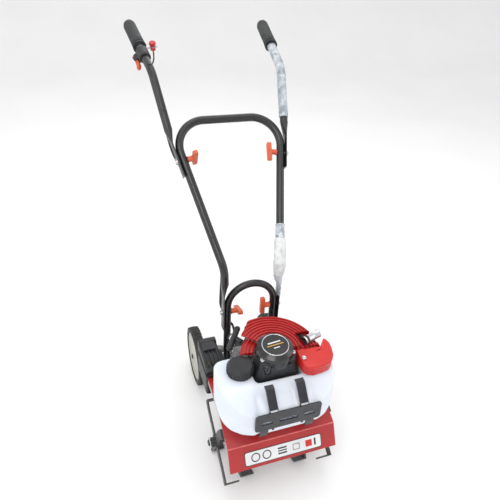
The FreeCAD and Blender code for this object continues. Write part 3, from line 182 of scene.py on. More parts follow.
def make_materials():
    """Every finish of the machine, by a plain name."""
    made = {}
    powder = Shader("black_powder_coat", (0.008, 0.008, 0.009), 0.32, coat=0.25)
    powder.mottle((0.014, 0.014, 0.016), 60).rough(0.26, 0.4, 90).grain(900, 0.12, 0.0002)
    made["black_tube"] = powder

    bracket = Shader("black_bracket_paint", (0.008, 0.009, 0.014), 0.34, coat=0.2)
    bracket.mottle((0.016, 0.017, 0.024), 70).rough(0.28, 0.45, 60).grain(500, 0.15, 0.0002)
    made["bracket"] = bracket.edge_wear_and_highlight((0.12, 0.13, 0.16), 0.6)

    guard = Shader("red_guard_paint", (0.42, 0.012, 0.014), 0.38, coat=0.35)
    guard.mottle((0.36, 0.009, 0.011), 14).rough(0.32, 0.46, 30).grain(420, 0.12, 0.0003)
    # the lighter red along the guard's edges is partly a painted highlight, the same red as the crease ridge
    made["guard"] = guard.edge_wear_and_highlight((0.72, 0.16, 0.15), 0.6)

    shroud = Shader("deep_red_plastic", (0.42, 0.008, 0.008), 0.36, coat=0.2)
    shroud.mottle((0.36, 0.006, 0.007), 25).rough(0.3, 0.42, 60).grain(700, 0.18, 0.0002)
    made["shroud"] = shroud.edge_wear_and_highlight((0.6, 0.05, 0.04), 0.4)

    panel = Shader("bright_red_plastic", (0.62, 0.016, 0.012), 0.36, coat=0.25)
    panel.mottle((0.55, 0.012, 0.01), 18).rough(0.3, 0.42, 50).grain(700, 0.15, 0.0002)
    made["panel"] = panel.edge_wear_and_highlight((0.75, 0.1, 0.07), 0.4)

    cap = Shader("black_gloss_plastic", (0.006, 0.006, 0.007), 0.22, coat=0.4)
    made["cap"] = cap.mottle((0.012, 0.012, 0.013), 80).rough(0.18, 0.3, 120).grain(900, 0.06, 0.0002)

    moulding = Shader("black_moulding", (0.012, 0.013, 0.015), 0.45)
    moulding.mottle((0.024, 0.025, 0.028), 40).rough(0.38, 0.55, 80).grain(1300, 0.35, 0.00025)
    # the lighter edges of the black mouldings are partly a painted highlight, such as the light line along
    # the ledge under the starter cap
    made["moulding"] = moulding.edge_wear_and_highlight((0.06, 0.065, 0.07), 0.6)

    tank = Shader("white_polyethylene", (0.76, 0.8, 0.87), 0.36, specular=0.45)
    tank.mottle((0.7, 0.76, 0.85), 12).rough(0.3, 0.42, 25).grain(300, 0.06, 0.0004)
    tank.principled.inputs["Subsurface Weight"].default_value = 0.35
    tank.principled.inputs["Subsurface Radius"].default_value = (0.012, 0.014, 0.018)
    tank.principled.inputs["Subsurface Scale"].default_value = 1.0
    made["tank"] = tank

    rubber = Shader("black_rubber", (0.014, 0.015, 0.016), 0.6)
    rubber.mottle((0.03, 0.032, 0.034), 35).rough(0.5, 0.7, 70).grain(1500, 0.5, 0.0003)
    made["rubber"] = rubber

    tyre = Shader("tyre_rubber", (0.013, 0.013, 0.013), 0.62)
    tyre.mottle((0.03, 0.029, 0.027), 30).rough(0.5, 0.75, 50).grain(900, 0.5, 0.0004)
    made["tyre"] = tyre.edge_wear_and_highlight((0.07, 0.068, 0.062), 0.7)

    disc = Shader("pale_wheel_plastic", (0.5, 0.5, 0.47), 0.5)
    disc.mottle((0.4, 0.395, 0.34), 12).rough(0.42, 0.6, 40).grain(600, 0.2, 0.0003)
    made["disc"] = disc

    orange = Shader("orange_plastic", (0.68, 0.12, 0.045), 0.42, coat=0.1)
    orange.mottle((0.56, 0.085, 0.03), 40).rough(0.35, 0.5, 90).grain(1200, 0.25, 0.0002)
    made["orange"] = orange.edge_wear_and_highlight((0.85, 0.3, 0.16), 0.4)

    button = Shader("red_button_plastic", (0.6, 0.015, 0.03), 0.3, coat=0.3)
    made["button"] = button.mottle((0.5, 0.01, 0.02), 100).rough(0.25, 0.36, 200).grain(1500, 0.1, 0.0002)

    cast = Shader("cast_aluminium", (0.42, 0.42, 0.42), 0.5, metallic=0.9)
    cast.mottle((0.3, 0.3, 0.3), 60).rough(0.42, 0.62, 120).grain(900, 0.5, 0.0004)
    made["cast"] = cast.edge_wear_and_highlight((0.6, 0.6, 0.6))

    steel = Shader("machined_steel", (0.46, 0.46, 0.47), 0.32, metallic=1.0)
    made["steel"] = steel.mottle((0.34, 0.34, 0.35), 50).rough(0.25, 0.45, 150).grain(1500, 0.2, 0.0002)

    plated = Shader("bright_plating", (0.74, 0.75, 0.77), 0.2, metallic=1.0)
    made["plated"] = plated.mottle((0.6, 0.61, 0.63), 70).rough(0.14, 0.3, 90).grain(900, 0.08, 0.0002)

    tine = Shader("dark_hammered_steel", (0.045, 0.046, 0.048), 0.48, metallic=0.35)
    tine.mottle((0.1, 0.1, 0.098), 55, 0.45, 0.7).rough(0.36, 0.6, 60).grain(260, 0.5, 0.0006)
    made["tine"] = tine.edge_wear_and_highlight((0.22, 0.21, 0.2), 0.7)

    bronze = Shader("bronze", (0.5, 0.32, 0.14), 0.35, metallic=1.0)
    made["bronze"] = bronze.mottle((0.4, 0.24, 0.1), 60).rough(0.3, 0.5, 100).grain(900, 0.2, 0.0002)

    heat = Shader("heat_proof_black", (0.03, 0.029, 0.028), 0.6, metallic=0.3)
    made["heat"] = heat.mottle((0.06, 0.05, 0.045), 30).rough(0.5, 0.75, 60).grain(800, 0.5, 0.0004)

    film = Shader("packing_film", (0.5, 0.54, 0.58), 0.3, specular=0.6)
    film.mottle((0.26, 0.3, 0.34), 55, 0.4, 0.62, (1, 1, 0.4)).mottle((0.75, 0.78, 0.8), 110, 0.55, 0.7)
    film.rough(0.2, 0.5, 80).grain(120, 0.9, 0.0016, (1, 1, 0.5)).grain(420, 0.6, 0.0005)
    made["film"] = film

    foam = Shader("packing_foam", (0.74, 0.75, 0.75), 0.7)
    foam.mottle((0.55, 0.57, 0.58), 70, 0.42, 0.66).rough(0.6, 0.85, 90).grain(180, 0.8, 0.0012)
    made["foam"] = foam

    label = Shader("label_white", (0.78, 0.79, 0.8), 0.4)
    made["label"] = label.mottle((0.72, 0.73, 0.74), 20).rough(0.35, 0.5, 60).grain(600, 0.05, 0.0002)

    print_ink = Shader("label_ink", (0.02, 0.02, 0.022), 0.45)
    made["ink"] = print_ink.mottle((0.035, 0.035, 0.037), 90).rough(0.4, 0.55, 90).grain(900, 0.05, 0.0002)

    # lighter red for the thin ridge along the guard's crease: a painted highlight
    crease = Shader("painted_highlight_red_edge", (0.72, 0.16, 0.15), 0.35, coat=0.3)
    made["crease"] = crease.mottle((0.6, 0.09, 0.09), 60).rough(0.3, 0.45, 80).grain(500, 0.1, 0.0002)

    # pale grey: on the guard's side flanges a painted reflection; on the label a printed grey square
    flange = Shader("flange_reflection_and_label_grey", (0.5, 0.47, 0.44), 0.4, metallic=0.3)
    made["flange"] = flange.mottle((0.3, 0.24, 0.22), 40).rough(0.3, 0.5, 80).grain(600, 0.2, 0.0003)

    amber = Shader("amber_band", (0.62, 0.36, 0.06), 0.4)
    made["amber"] = amber.mottle((0.52, 0.3, 0.05), 90).rough(0.35, 0.5, 90).grain(900, 0.05, 0.0002)
    return {key: shader.material for key, shader in made.items()}


materials = make_materials()


# ---------------------------------------------------------------- pieces


def clamped(value):
    return min(1.0, max(0.0, value))


def smooth_step(value):
    value = clamped(value)
    return value * value * (3 - 2 * value)


def place(name, mesh, body, material, replaces=()):
    """Puts a mesh into the scene, riding a body, or none where it is blended across a joint."""
    piece = bpy.data.objects.new(name, mesh)
    bpy.context.scene.collection.objects.link(piece)
    mesh.materials.clear()
    mesh.materials.append(materials[material])
    if body:
        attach(piece, body)
    if replaces:
        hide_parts(*replaces)
    return piece


def mesh_from(name, vertices, faces, smooth=True):
    mesh = bpy.data.meshes.new(name)
    mesh.from_pydata([tuple(vertex) for vertex in vertices], [], faces)
    mesh.validate()
    if smooth:
        mesh.polygons.foreach_set("use_smooth", [True] * len(mesh.polygons))
    return mesh


def applied(name, mesh, *modifiers):
    """The mesh with (kind, settings) modifiers worked into it."""
    holder = bpy.data.objects.new(name, mesh)
    bpy.context.scene.collection.objects.link(holder)
    for kind, settings in modifiers:
        modifier = holder.modifiers.new(kind, kind)
        for key, value in settings.items():
            setattr(modifier, key, value)
    depsgraph = bpy.context.evaluated_depsgraph_get()
    result = bpy.data.meshes.new_from_object(holder.evaluated_get(depsgraph))
    bpy.data.objects.remove(holder)
    result.name = name
    return result


def shade_by_angle(piece, degrees):
    """Smooth shading, with edges sharper than an angle left sharp."""
    piece.data.polygons.foreach_set("use_smooth", [True] * len(piece.data.polygons))
    piece.data.set_sharp_from_angle(angle=math.radians(degrees))


def bevelled(piece, width):
    """Rounds a piece's edges by a width in millimetres."""
    modifier = piece.modifiers.new("bevel", "BEVEL")
    modifier.width = width * MM
    modifier.segments = 2
    modifier.limit_method = "ANGLE"
    modifier.angle_limit = math.radians(35)


def prism(outline, low, high, matrix=None):
    """Vertices and faces of an upright prism over a closed outline of (x, y)."""
    count = len(outline)
    vertices = [Vector((x, y, low)) for x, y in outline] + [Vector((x, y, high)) for x, y in outline]
    faces = [tuple(reversed(range(count))), tuple(range(count, 2 * count))]
    for k in range(count):
        after = (k + 1) % count
        faces.append((k, after, count + after, count + k))
    if matrix:
        vertices = [matrix @ vertex for vertex in vertices]
    return vertices, faces


def rounded_outline(half_x, half_y, radius):
    """A rectangle's outline with round corners, centred on the origin."""
    outline = []
    for sign_x, sign_y, first in ((1, 1, 0), (-1, 1, 90), (-1, -1, 180), (1, -1, 270)):
        for k in range(7):
            angle = math.radians(first + 15 * k)
            outline.append((sign_x * (half_x - radius) + radius * math.cos(angle),
                            sign_y * (half_y - radius) + radius * math.sin(angle)))
    return outline


def polar(radius, angle, height):
    """The point at a radius and an angle about Z."""
    return Vector((radius * math.cos(angle), radius * math.sin(angle), height))


def lathe(profile, steps, matrix):
    """Turns (radius, height) points about Z; a profile that starts and ends at radius 0 is closed."""
    vertices = []
    faces = []
    for step in range(steps):
        angle = 2 * math.pi * step / steps
        for radius, height in profile:
            vertices.append(matrix @ polar(radius, angle, height))
    count = len(profile)
    for step in range(steps):
        after = (step + 1) % steps
        for k in range(count - 1):
            faces.append((step * count + k, after * count + k, after * count + k + 1, step * count + k + 1))
    mesh = mesh_from("lathe", vertices, faces)
    shape = bmesh.new()
    shape.from_mesh(mesh)
    bmesh.ops.remove_doubles(shape, verts=shape.verts, dist=1e-7)
    bmesh.ops.recalc_face_normals(shape, faces=shape.faces)
    shape.to_mesh(mesh)
    shape.free()
    return mesh


def rings_mesh(name, rings):
    """A skin over rings of equal point counts, closed at both ends."""
    count = len(rings[0])
    vertices = [point for ring in rings for point in ring]
    faces = []
    for level in range(len(rings) - 1):
        for k in range(count):
            after = (k + 1) % count
            low = level * count
            high = low + count
            faces.append((low + k, low + after, high + after, high + k))
    faces.append(tuple(reversed(range(count))))
    faces.append(tuple(range((len(rings) - 1) * count, len(rings) * count)))
    return mesh_from(name, vertices, faces)


def tube(name, points, radius, body, material, replaces=()):
    """A lead along a NURBS line through millimetre points."""
    curve = bpy.data.curves.new(name, "CURVE")
    curve.dimensions = "3D"
    spline = curve.splines.new("NURBS")
    spline.points.add(len(points) - 1)
    for target, point in zip(spline.points, points):
        target.co = (point[0] * MM, point[1] * MM, point[2] * MM, 1)
    spline.order_u = 3
    spline.use_endpoint_u = True
    curve.bevel_depth = radius * MM
    curve.bevel_resolution = 4
    curve.resolution_u = 8
    curve.use_fill_caps = True
    holder = bpy.data.objects.new(name, curve)
    bpy.context.scene.collection.objects.link(holder)
    depsgraph = bpy.context.evaluated_depsgraph_get()
    mesh = bpy.data.meshes.new_from_object(holder.evaluated_get(depsgraph))
    bpy.data.objects.remove(holder)
    return place(name, mesh, body, material, replaces)


# from millimetres upright on the floor, and from millimetres in the engine's tilted frame
WORLD_MM = Matrix.Scale(MM, 4)
ENGINE_MM = Matrix.Translation((0, -0.029197, 0.107763)) @ Matrix.Rotation(math.radians(6), 4, "X") @ WORLD_MM


# ---------------------------------------------------------------- finishes of the CAD nodes that stay

NODE_FINISH = {
    "base_arch": "black_tube", "wheel_frame": "black_tube", "lower_handle": "black_tube",
    "upper_handle_left": "black_tube", "upper_handle_right": "black_tube",
    "tine_guard": "guard", "engine_shroud": "shroud", "starter_cap": "cap",
    "front_cowl": "moulding", "filter_cover": "moulding", "filter_base": "moulding",
    "fuel_cap": "moulding", "throttle_housing": "moulding", "starter_grip": "moulding",
    "grip_left": "rubber", "grip_right": "rubber", "spark_plug": "rubber",
    "wheel_left": "disc", "wheel_right": "disc",
    "throttle_trigger": "orange", "lower_knob_left": "orange", "lower_knob_right": "orange",
    "upper_knob_left": "orange", "upper_knob_right": "orange", "kill_button": "button",
    "gearbox_housing": "cast", "gearbox_cover": "cast", "crankcase": "cast", "cylinder": "cast",
    "carburettor": "cast", "flywheel": "cast", "piston": "cast", "crankshaft": "steel",
    "worm_shaft": "steel", "shaft_bearings": "steel", "wheel_axle": "steel", "clutch_shoes": "steel",
    "clutch_drum": "steel", "starter_pulley": "steel", "base_bolts": "plated",
    "upper_pivot_bolts": "plated", "switch_clamp": "plated", "tine_clips": "plated",
    "tine_shaft": "tine", "tine_outer_left": "tine", "tine_inner_left": "tine",
    "tine_inner_right": "tine", "tine_outer_right": "tine", "worm_wheel": "bronze", "muffler": "heat",
}

for node_name, finish in NODE_FINISH.items():
    for material_slot in nodes[node_name].material_slots:
        material_slot.material = materials[finish]
for node_name, width in (("filter_cover", 1.2), ("filter_base", 0.8), ("front_cowl", 0.8),
                         ("throttle_trigger", 1.2), ("switch_clamp", 0.3), ("tine_outer_left", 0.8),
                         ("tine_inner_left", 0.8), ("tine_inner_right", 0.8), ("tine_outer_right", 0.8)):
    bevelled(nodes[node_name], width)


# ---------------------------------------------------------------- fuel tank


def fuel_tank():
    """Blow-moulded saddle tank: two lobes behind, a sloping bridge in front with a recessed middle."""
    outline = [(-61, -105), (-62, -20), (-68, -14), (-136, -14), (-147, -24), (-150, -50), (-150, -92),
               (-146, -116), (-134, -140), (-112, -160), (-84, -171), (-50, -173), (50, -173), (84, -171),
               (112, -160), (134, -140), (146, -116), (150, -92), (150, -50), (147, -24), (136, -14),
               (68, -14), (62, -20), (61, -105)]
    shoulder = 300
    top = 358
    mesh = mesh_from("fuel_tank_skin", *prism(outline, 236, top), smooth=False)
    mesh = applied("fuel_tank_skin", mesh, ("REMESH", {"mode": "VOXEL", "voxel_size": 3.0}))
    for vertex in mesh.vertices:
        x, y, z = vertex.co
        # the bridge's top slopes down to the front, and the lobes round off over it
        slope = 352 - max(0.0, -107 - y) * 0.6
        lobe = 357 - max(0.0, -118 - y) * 0.95 - (abs(x) - 100) ** 2 * 0.0022
        share = smooth_step((abs(x) - 56) / 16)
        roof = slope * (1 - share) + lobe * share
        if z > shoulder:
            vertex.co.z = shoulder + (z - shoulder) * (roof - shoulder) / (top - shoulder)
    mesh = applied("fuel_tank_skin", mesh, ("SMOOTH", {"factor": 0.5, "iterations": 34}),
                   ("REMESH", {"mode": "VOXEL", "voxel_size": 2.2}),
                   ("SMOOTH", {"factor": 0.5, "iterations": 10}))
    normals = [vertex.normal.copy() for vertex in mesh.vertices]
    for vertex, normal in zip(mesh.vertices, normals):
        x, y, z = vertex.co
        front = clamped((-128 - y) / 14)
        # a shallow panel between the bumper's fingers, the parting line round the middle, and two flutes
        inside = clamped((24 - abs(x)) / 5) * front * clamped((z - 262) / 8)
        depth = 2.2 * inside * clamped((344 - z) / 8)
        depth -= 0.5 * math.exp(-((z - 296) / 1.3) ** 2) * (1 - inside)
        for side in (-1, 1):
            depth += 2.6 * (math.exp(-((x - side * 71) / 7) ** 2) * front)
        vertex.co -= normal * depth
    mesh.transform(WORLD_MM)
    mesh.polygons.foreach_set("use_smooth", [True] * len(mesh.polygons))
    place("fuel_tank_skin", mesh, "base", "tank", ["fuel_tank"])
    wall = [(22, 350), (26.5, 350), (26.5, 361), (30, 362), (30, 365), (24, 366), (22, 366), (22, 350)]
    neck = lathe(wall, 64, WORLD_MM @ Matrix.Translation((-90, -66, 0)))
    place("fuel_tank_neck", neck, "base", "tank")


fuel_tank()


# ---------------------------------------------------------------- wheels


AXLE_Y = 0.268
AXLE_Z = 0.096
WHEEL_X = 0.125


def tyre(side):
    """Solid tyre with a raised diamond tread and a plain shoulder."""
    name = SIDE_NAME[side]
    wheel = "wheel_" + name
    matrix = (Matrix.Translation((side * WHEEL_X, AXLE_Y, AXLE_Z))
              @ Matrix.Rotation(math.radians(90 * side), 4, "Y") @ Matrix.Scale(MM, 4))
    profile = [(76.2, -13), (80, -15.2), (85, -15.9), (89.5, -15), (92.3, -12.5), (93, -9), (93, 9),
               (92.3, 12.5), (89.5, 15), (85, 15.9), (80, 15.2), (76.2, 13), (76.2, -13)]
    carcass = lathe(profile, 128, matrix)
    place("tyre_carcass_" + name, carcass, wheel, "tyre", ["tyre_" + name])
    vertices = []
    faces = []
    blocks = 34
    rows = (-10.2, -3.4, 3.4, 10.2)
    half_turn = 2 * math.pi / blocks * 0.42
    half_width = 5.6
    shoulder = 15.2
    corners = ((-half_turn, 0), (0, -half_width), (half_turn, 0), (0, half_width))
    for block in range(blocks):
        for row_index, row in enumerate(rows):
            middle = 2 * math.pi * (block + 0.5 * (row_index % 2)) / blocks
            first = len(vertices)
            for radius, share in ((91.2, 1.0), (95.2, 0.86), (95.7, 0.6)):
                if abs(row) > 9:
                    radius -= 0.9
                for turn, across in corners:
                    angle = middle + turn * share
                    height = max(-shoulder, min(shoulder, row + across * share))
                    vertices.append(matrix @ polar(radius, angle, height))
            for level in (0, 4):
                for k in range(4):
                    after = (k + 1) % 4
                    faces.append((first + level + k, first + level + after, first + level + 4 + after,
                                  first + level + 4 + k))
            faces.append(tuple(first + 8 + k for k in range(4)))
    tread = mesh_from("tyre_tread_" + name, vertices, faces, smooth=False)
    place("tyre_tread_" + name, tread, wheel, "tyre")


for wheel_side in SIDE_NAME:
    tyre(wheel_side)


# ---------------------------------------------------------------- the handle's lines, in millimetres

NECK = Vector((75.8, 129, 480))
ELBOW = Vector((77.4, 128.5, 526))
CORNER = Vector((157.6, 395.5, 836))
BEND = Vector((183.4, 480.7, 946.8))
HANDLE_END = Vector((207, 717, 1023))
LEG = (CORNER - ELBOW).normalized()
PIVOT = ELBOW + (CORNER - ELBOW) * 0.7355
OUTBOARD = (Vector((1, 0, 0)) - LEG * LEG.x).normalized()
BEHIND = LEG.cross(OUTBOARD)
REAR_RUN = (HANDLE_END - BEND).normalized()
UNDER = REAR_RUN.cross(Vector((1, 0, 0))).normalized()
# radii of the handle's tube and of a lead, and how far a lead's middle lies from the tube's
TUBE = 11.0
LEAD = 3.5
BESIDE = TUBE + LEAD + 0.7


def left(vector):
    """The same point or direction on the left-hand side."""
    return Vector((-vector.x, vector.y, vector.z))


def upper_run(height):
    """A point on the right upper handle's first run, at a height along the leg above the pivot."""
    foot = PIVOT + OUTBOARD * 12.55 + LEG * 60
    return foot + (BEND - foot) * ((height - 60) / ((BEND - PIVOT).dot(LEG) - 60))


def bent_line(start, corner, end, radius, step):
    """(point, tangent) pairs along a tube's axis that has one bend."""
    incoming = (corner - start).normalized()
    outgoing = (end - corner).normalized()
    turn = incoming.angle(outgoing)
    reach = radius * math.tan(turn / 2)
    enter = corner - incoming * reach
    leave = corner + outgoing * reach
    inward = (outgoing - incoming * math.cos(turn)).normalized()
    centre = enter + inward * radius
    line = []
    first = (enter - start).length
    for k in range(int(first / step)):
        line.append((start + incoming * (k * step), incoming))
    bends = max(2, int(radius * turn / step))
    for k in range(bends):
        angle = turn * k / bends
        tangent = incoming * math.cos(angle) + inward * math.sin(angle)
        point = centre - inward * (radius * math.cos(angle)) + incoming * (radius * math.sin(angle))
        line.append((point, tangent))
    last = (end - leave).length
    for k in range(int(last / step) + 1):
        line.append((leave + outgoing * min(last, k * step), outgoing))
    return line


# ---------------------------------------------------------------- leads


def leads():
    """Throttle and stop leads in one sheath, behind the left handle from the controls to the engine."""
    behind = BEHIND * BESIDE
    under = UNDER * BESIDE
    rear = 129 + 15 + LEAD + 1.2
    foot = Vector((-82, rear, 405))
    points = [foot, Vector((-81, rear, 450)), Vector((-79, rear, 500)), Vector((-79.5, rear + 3, 522)),
              left(ELBOW + LEG * 34 + behind), left(ELBOW + LEG * 120 + behind),
              left(PIVOT - LEG * 90 + behind), left(PIVOT - LEG * 22 + behind),
              left(PIVOT + OUTBOARD * 12 + LEG * 8 + behind * 1.3),
              left(PIVOT + OUTBOARD * 16.5 + LEG * 36 + behind * 1.3),
              left(upper_run(92) + OUTBOARD * 3 + behind), left(upper_run(150) + behind),
              left(upper_run(196) + behind), left(BEND + (behind + under) * 0.55),
              left(BEND + REAR_RUN * 34 + under), left(HANDLE_END - REAR_RUN * 212 + under)]
    run = tube("lead_handle", points, LEAD, None, "rubber", ["cable_upper", "cable_lower"])
    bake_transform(run)
    points = [foot + Vector((0, 0, 4)), Vector((-81.5, rear - 0.5, 388)), Vector((-70, 144.5, 372)),
              Vector((-66.5, 143.4, 350)), Vector((-56, 143.4, 331)), Vector((-48, 139, 324)),
              Vector((-50, 112, 321)), Vector((-60, 84, 321)), Vector((-61, 62, 321)), Vector((-61, 44, 321))]
    run = tube("lead_engine", points, LEAD, None, "rubber", ["cable_engine"])
    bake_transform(run)
    button = Vector((-159.3, 598.6, 972.7))
    points = [button + Vector((-0.3, -1, 3)), button + Vector((0.8, 1.5, -6)), Vector((-160, 592, 954)),
              Vector((-170, 570, 943)), Vector((-182, 540, 941)),
              left(HANDLE_END - REAR_RUN * 210 + under * 1.35),
              left(HANDLE_END - REAR_RUN * 232 + under * 1.25)]
    tube("stop_lead", points, 2.0, "upper_left", "rubber")


def tie(name, centre, along, towards, body):
    """Nylon strap round a tube and the lead beside it."""
    across = along.cross(towards).normalized()
    rings = []
    steps = 40
    for step in range(steps):
        angle = 2 * math.pi * step / steps
        # a pear-shaped loop: wide round the tube, narrow round the lead
        out = math.cos(angle)
        spread = 0.5 * (1 + out)
        middle = centre + towards * (spread * BESIDE)
        radius = (TUBE + 0.25) * (1 - spread) + (LEAD + 0.35) * spread
        point = middle + towards * (radius * out) + across * (radius * math.sin(angle))
        normal = (towards * out + across * math.sin(angle)).normalized()
        rings.append([point + along * high + normal * thick
                      for high, thick in ((-2.2, 0), (2.2, 0), (2.2, 1.1), (-2.2, 1.1))])
    vertices = [point for ring in rings for point in ring]
    faces = []
    for step in range(steps):
        after = (step + 1) % steps
        for k in range(4):
            faces.append((step * 4 + k, after * 4 + k, after * 4 + (k + 1) % 4, step * 4 + (k + 1) % 4))
    mesh = mesh_from(name, vertices, faces, smooth=False)
    mesh.transform(WORLD_MM)
    place(name, mesh, body, "moulding")


def ties():
    """Two straps on each half of the left handle."""
    tie("tie_low", left(ELBOW + LEG * 90), left(LEG), left(BEHIND), "lower_handle")
    tie("tie_middle", left(PIVOT - LEG * 70), left(LEG), left(BEHIND), "lower_handle")
    way = left((BEND - upper_run(60)).normalized())
    tie("tie_high", left(upper_run(140)), way, left(BEHIND), "upper_left")
    tie("tie_rear", left(HANDLE_END - REAR_RUN * 232), left(REAR_RUN), left(UNDER), "upper_left")


leads()
ties()


# ---------------------------------------------------------------- packing


def crumpled(name, line, body, material, replaces, crinkle, scale, steps=36):
    """A skin round (point, tangent, radius across, radius behind) rings, pushed out in sharp creases."""
    rings = []
    for centre, tangent, wide, deep in line:
        side = (Vector((1, 0, 0)) - tangent * tangent.x).normalized()
        back = tangent.cross(side)
        ring = []
        for step in range(steps):
            angle = 2 * math.pi * step / steps
            way = side * (math.cos(angle) * wide) + back * (math.sin(angle) * deep)
            point = centre + way
            crease = 1 - abs(noise.noise(point * scale)) * 2.4
            ripple = noise.noise(point * scale * 2.7)
            push = crinkle * (max(0.0, crease) * 0.75 + 0.25 * ripple + 0.15)
            ring.append(point + way.normalized() * push)
        rings.append(ring)
    mesh = rings_mesh(name, rings)
    mesh.transform(WORLD_MM)
    return place(name, mesh, body, material, replaces)


def packing():
    """Film round the right upper handle; film and a pad of white foam round the right elbow."""
    line = bent_line(upper_run(106), BEND, HANDLE_END - REAR_RUN * 129, 80, 2.4)
    rings = [(point, tangent, 11.7, 11.7) for point, tangent in line]
    crumpled("handle_film", rings, "upper_right", "film", ["packing_film"], 1.7, 0.11)

    # the pressed end is flat below the neck, so the film goes from flat to round there
    flat_across = 3.9
    flat_behind = 15.6
    round_off = 11.8
    rings = []
    for z in range(418, 480, 3):
        share = smooth_step((z - 445) / 35)
        centre = Vector((79.9, 129, z)).lerp(Vector((75.8, 129, z)), share)
        rings.append((centre, Vector((0, 0, 1)), flat_across + (round_off - flat_across) * share,
                      flat_behind + (round_off - flat_behind) * share))
    elbow_line = bent_line(NECK, ELBOW, ELBOW + LEG * 104, 56, 2.4)
    film = rings + [(point, tangent, round_off, round_off) for point, tangent in elbow_line]
    crumpled("leg_film", film, "lower_handle", "film", ["packing_foam"], 1.5, 0.12)

    foam = []
    line = bent_line(ELBOW - Vector((0, 0, 40)), ELBOW, ELBOW + LEG * 64, 56, 2.0)
    for k, (point, tangent) in enumerate(line):
        share = k / (len(line) - 1)
        bulge = math.sin(math.pi * share) ** 0.45 * (0.86 + 0.14 * math.sin(share * 9))
        radius = 12.4 + 4.6 * bulge
        foam.append((point, tangent, radius, radius))
    pad = crumpled("leg_foam", foam, "lower_handle", "foam", (), 1.5, 0.16, 44)


packing()


# ---------------------------------------------------------------- engine details


def box_mesh(name, low, high, matrix, bevel):
    """A box with rounded edges, from two opposite corners in millimetres."""
    vertices, faces = prism([(low[0], low[1]), (high[0], low[1]), (high[0], high[1]), (low[0], high[1])],
                            low[2], high[2])
    mesh = mesh_from(name, vertices, faces, smooth=False)
    mesh = applied(name, mesh, ("BEVEL", {"width": bevel, "segments": 3, "limit_method": "ANGLE"}))
    mesh.transform(matrix)
    return mesh


def starter_emblem():
    """Bright ring in the cap's groove, and a plain badge of three bars."""
    ring = [(31.4, 312.2), (32.2, 313.3), (33.4, 313.5), (34.2, 312.8), (34.2, 312.0), (31.4, 312.0),
            (31.4, 312.2)]
    place("cap_ring", lathe(ring, 96, ENGINE_MM), "base", "plated")
    turn = ENGINE_MM @ Matrix.Rotation(math.radians(6), 4, "Z")
    band = box_mesh("cap_band", (-22, -1.8, 312.2), (22, 1.2, 312.9), turn, 0.3)
    place("cap_band", band, "base", "amber")
    for name, low, high in (("cap_bar_long", (-17, 6, 312.2), (17, 9.6, 312.8)),
                            ("cap_bar_short", (-8, -10.5, 312.2), (8, -7.8, 312.8))):
        place(name, box_mesh(name, low, high, turn, 0.25), "base", "label")


def cowl_details():
    """Ledge under the starter cap, the boss at its left, the panel below, and three bright screws."""
    ledge = box_mesh("cowl_ledge", (-33, -42.6, 292.5), (38, -39.5, 296.8), ENGINE_MM, 0.9)
    place("cowl_ledge", ledge, "base", "moulding")
    boss = [(0, 262), (8.5, 262), (9.6, 264), (9.8, 284), (8.6, 289), (5, 291.5), (0, 292)]
    frame_boss = ENGINE_MM @ Matrix.Translation((-31, -37.5, 0))
    place("cowl_boss", lathe(boss, 48, frame_boss), "base", "cap")
    panel = box_mesh("cowl_panel", (-24, -45.6, 246), (32, -42.6, 284), ENGINE_MM, 1.2)
    place("cowl_panel", panel, "base", "moulding")
    screw = [(0, -4), (3.6, -4), (5.6, 0), (5.6, 2.4), (4.8, 3.4), (2.4, 3.4), (2.2, 1.6), (0, 1.6)]
    for name, where in (("screw_left", (-41, -26, 297)), ("screw_right", (41, -22, 297)),
                        ("screw_bolt", (63, -40, 290))):
        place(name, lathe(screw, 32, ENGINE_MM @ Matrix.Translation(where)), "base", "plated")


def side_cover():
    """Red right-hand cover with level grooves, in place of the plain one."""
    outline = [(54, -9), (54.6, -40), (57, -59), (64, -67), (78, -73), (100, -71.5), (122, -67.5), (134, -57),
               (142, -45), (147, -24), (148.5, -8), (145, 4), (139, 10.5), (132, -6), (127, -13.5),
               (90, -11.5)]
    middle = Vector((100, -36, 0))
    # (height, how far the wall stands in): three grooves, then the rounded top
    levels = [(258, 0), (262.6, 0), (263.4, 1.5), (264.6, 1.5), (265.4, 0), (269.6, 0), (270.4, 1.5),
              (271.6, 1.5), (272.4, 0), (276.6, 0), (277.4, 1.5), (278.6, 1.5), (279.4, 0), (284.2, 0),
              (286.6, 0.9), (287.8, 2.6), (288.2, 5.5), (288.4, 12), (288.4, 30)]
    rings = []
    for z, inset in levels:
        share = 1 - inset / 48
        rings.append([middle + (Vector((x, y, 0)) - middle) * share + Vector((0, 0, z)) for x, y in outline])
    mesh = rings_mesh("side_cover", rings)
    mesh.transform(ENGINE_MM)
    piece = place("side_cover", mesh, "base", "panel", ["side_panel"])
    shade_by_angle(piece, 40)
    bevelled(piece, 0.5)


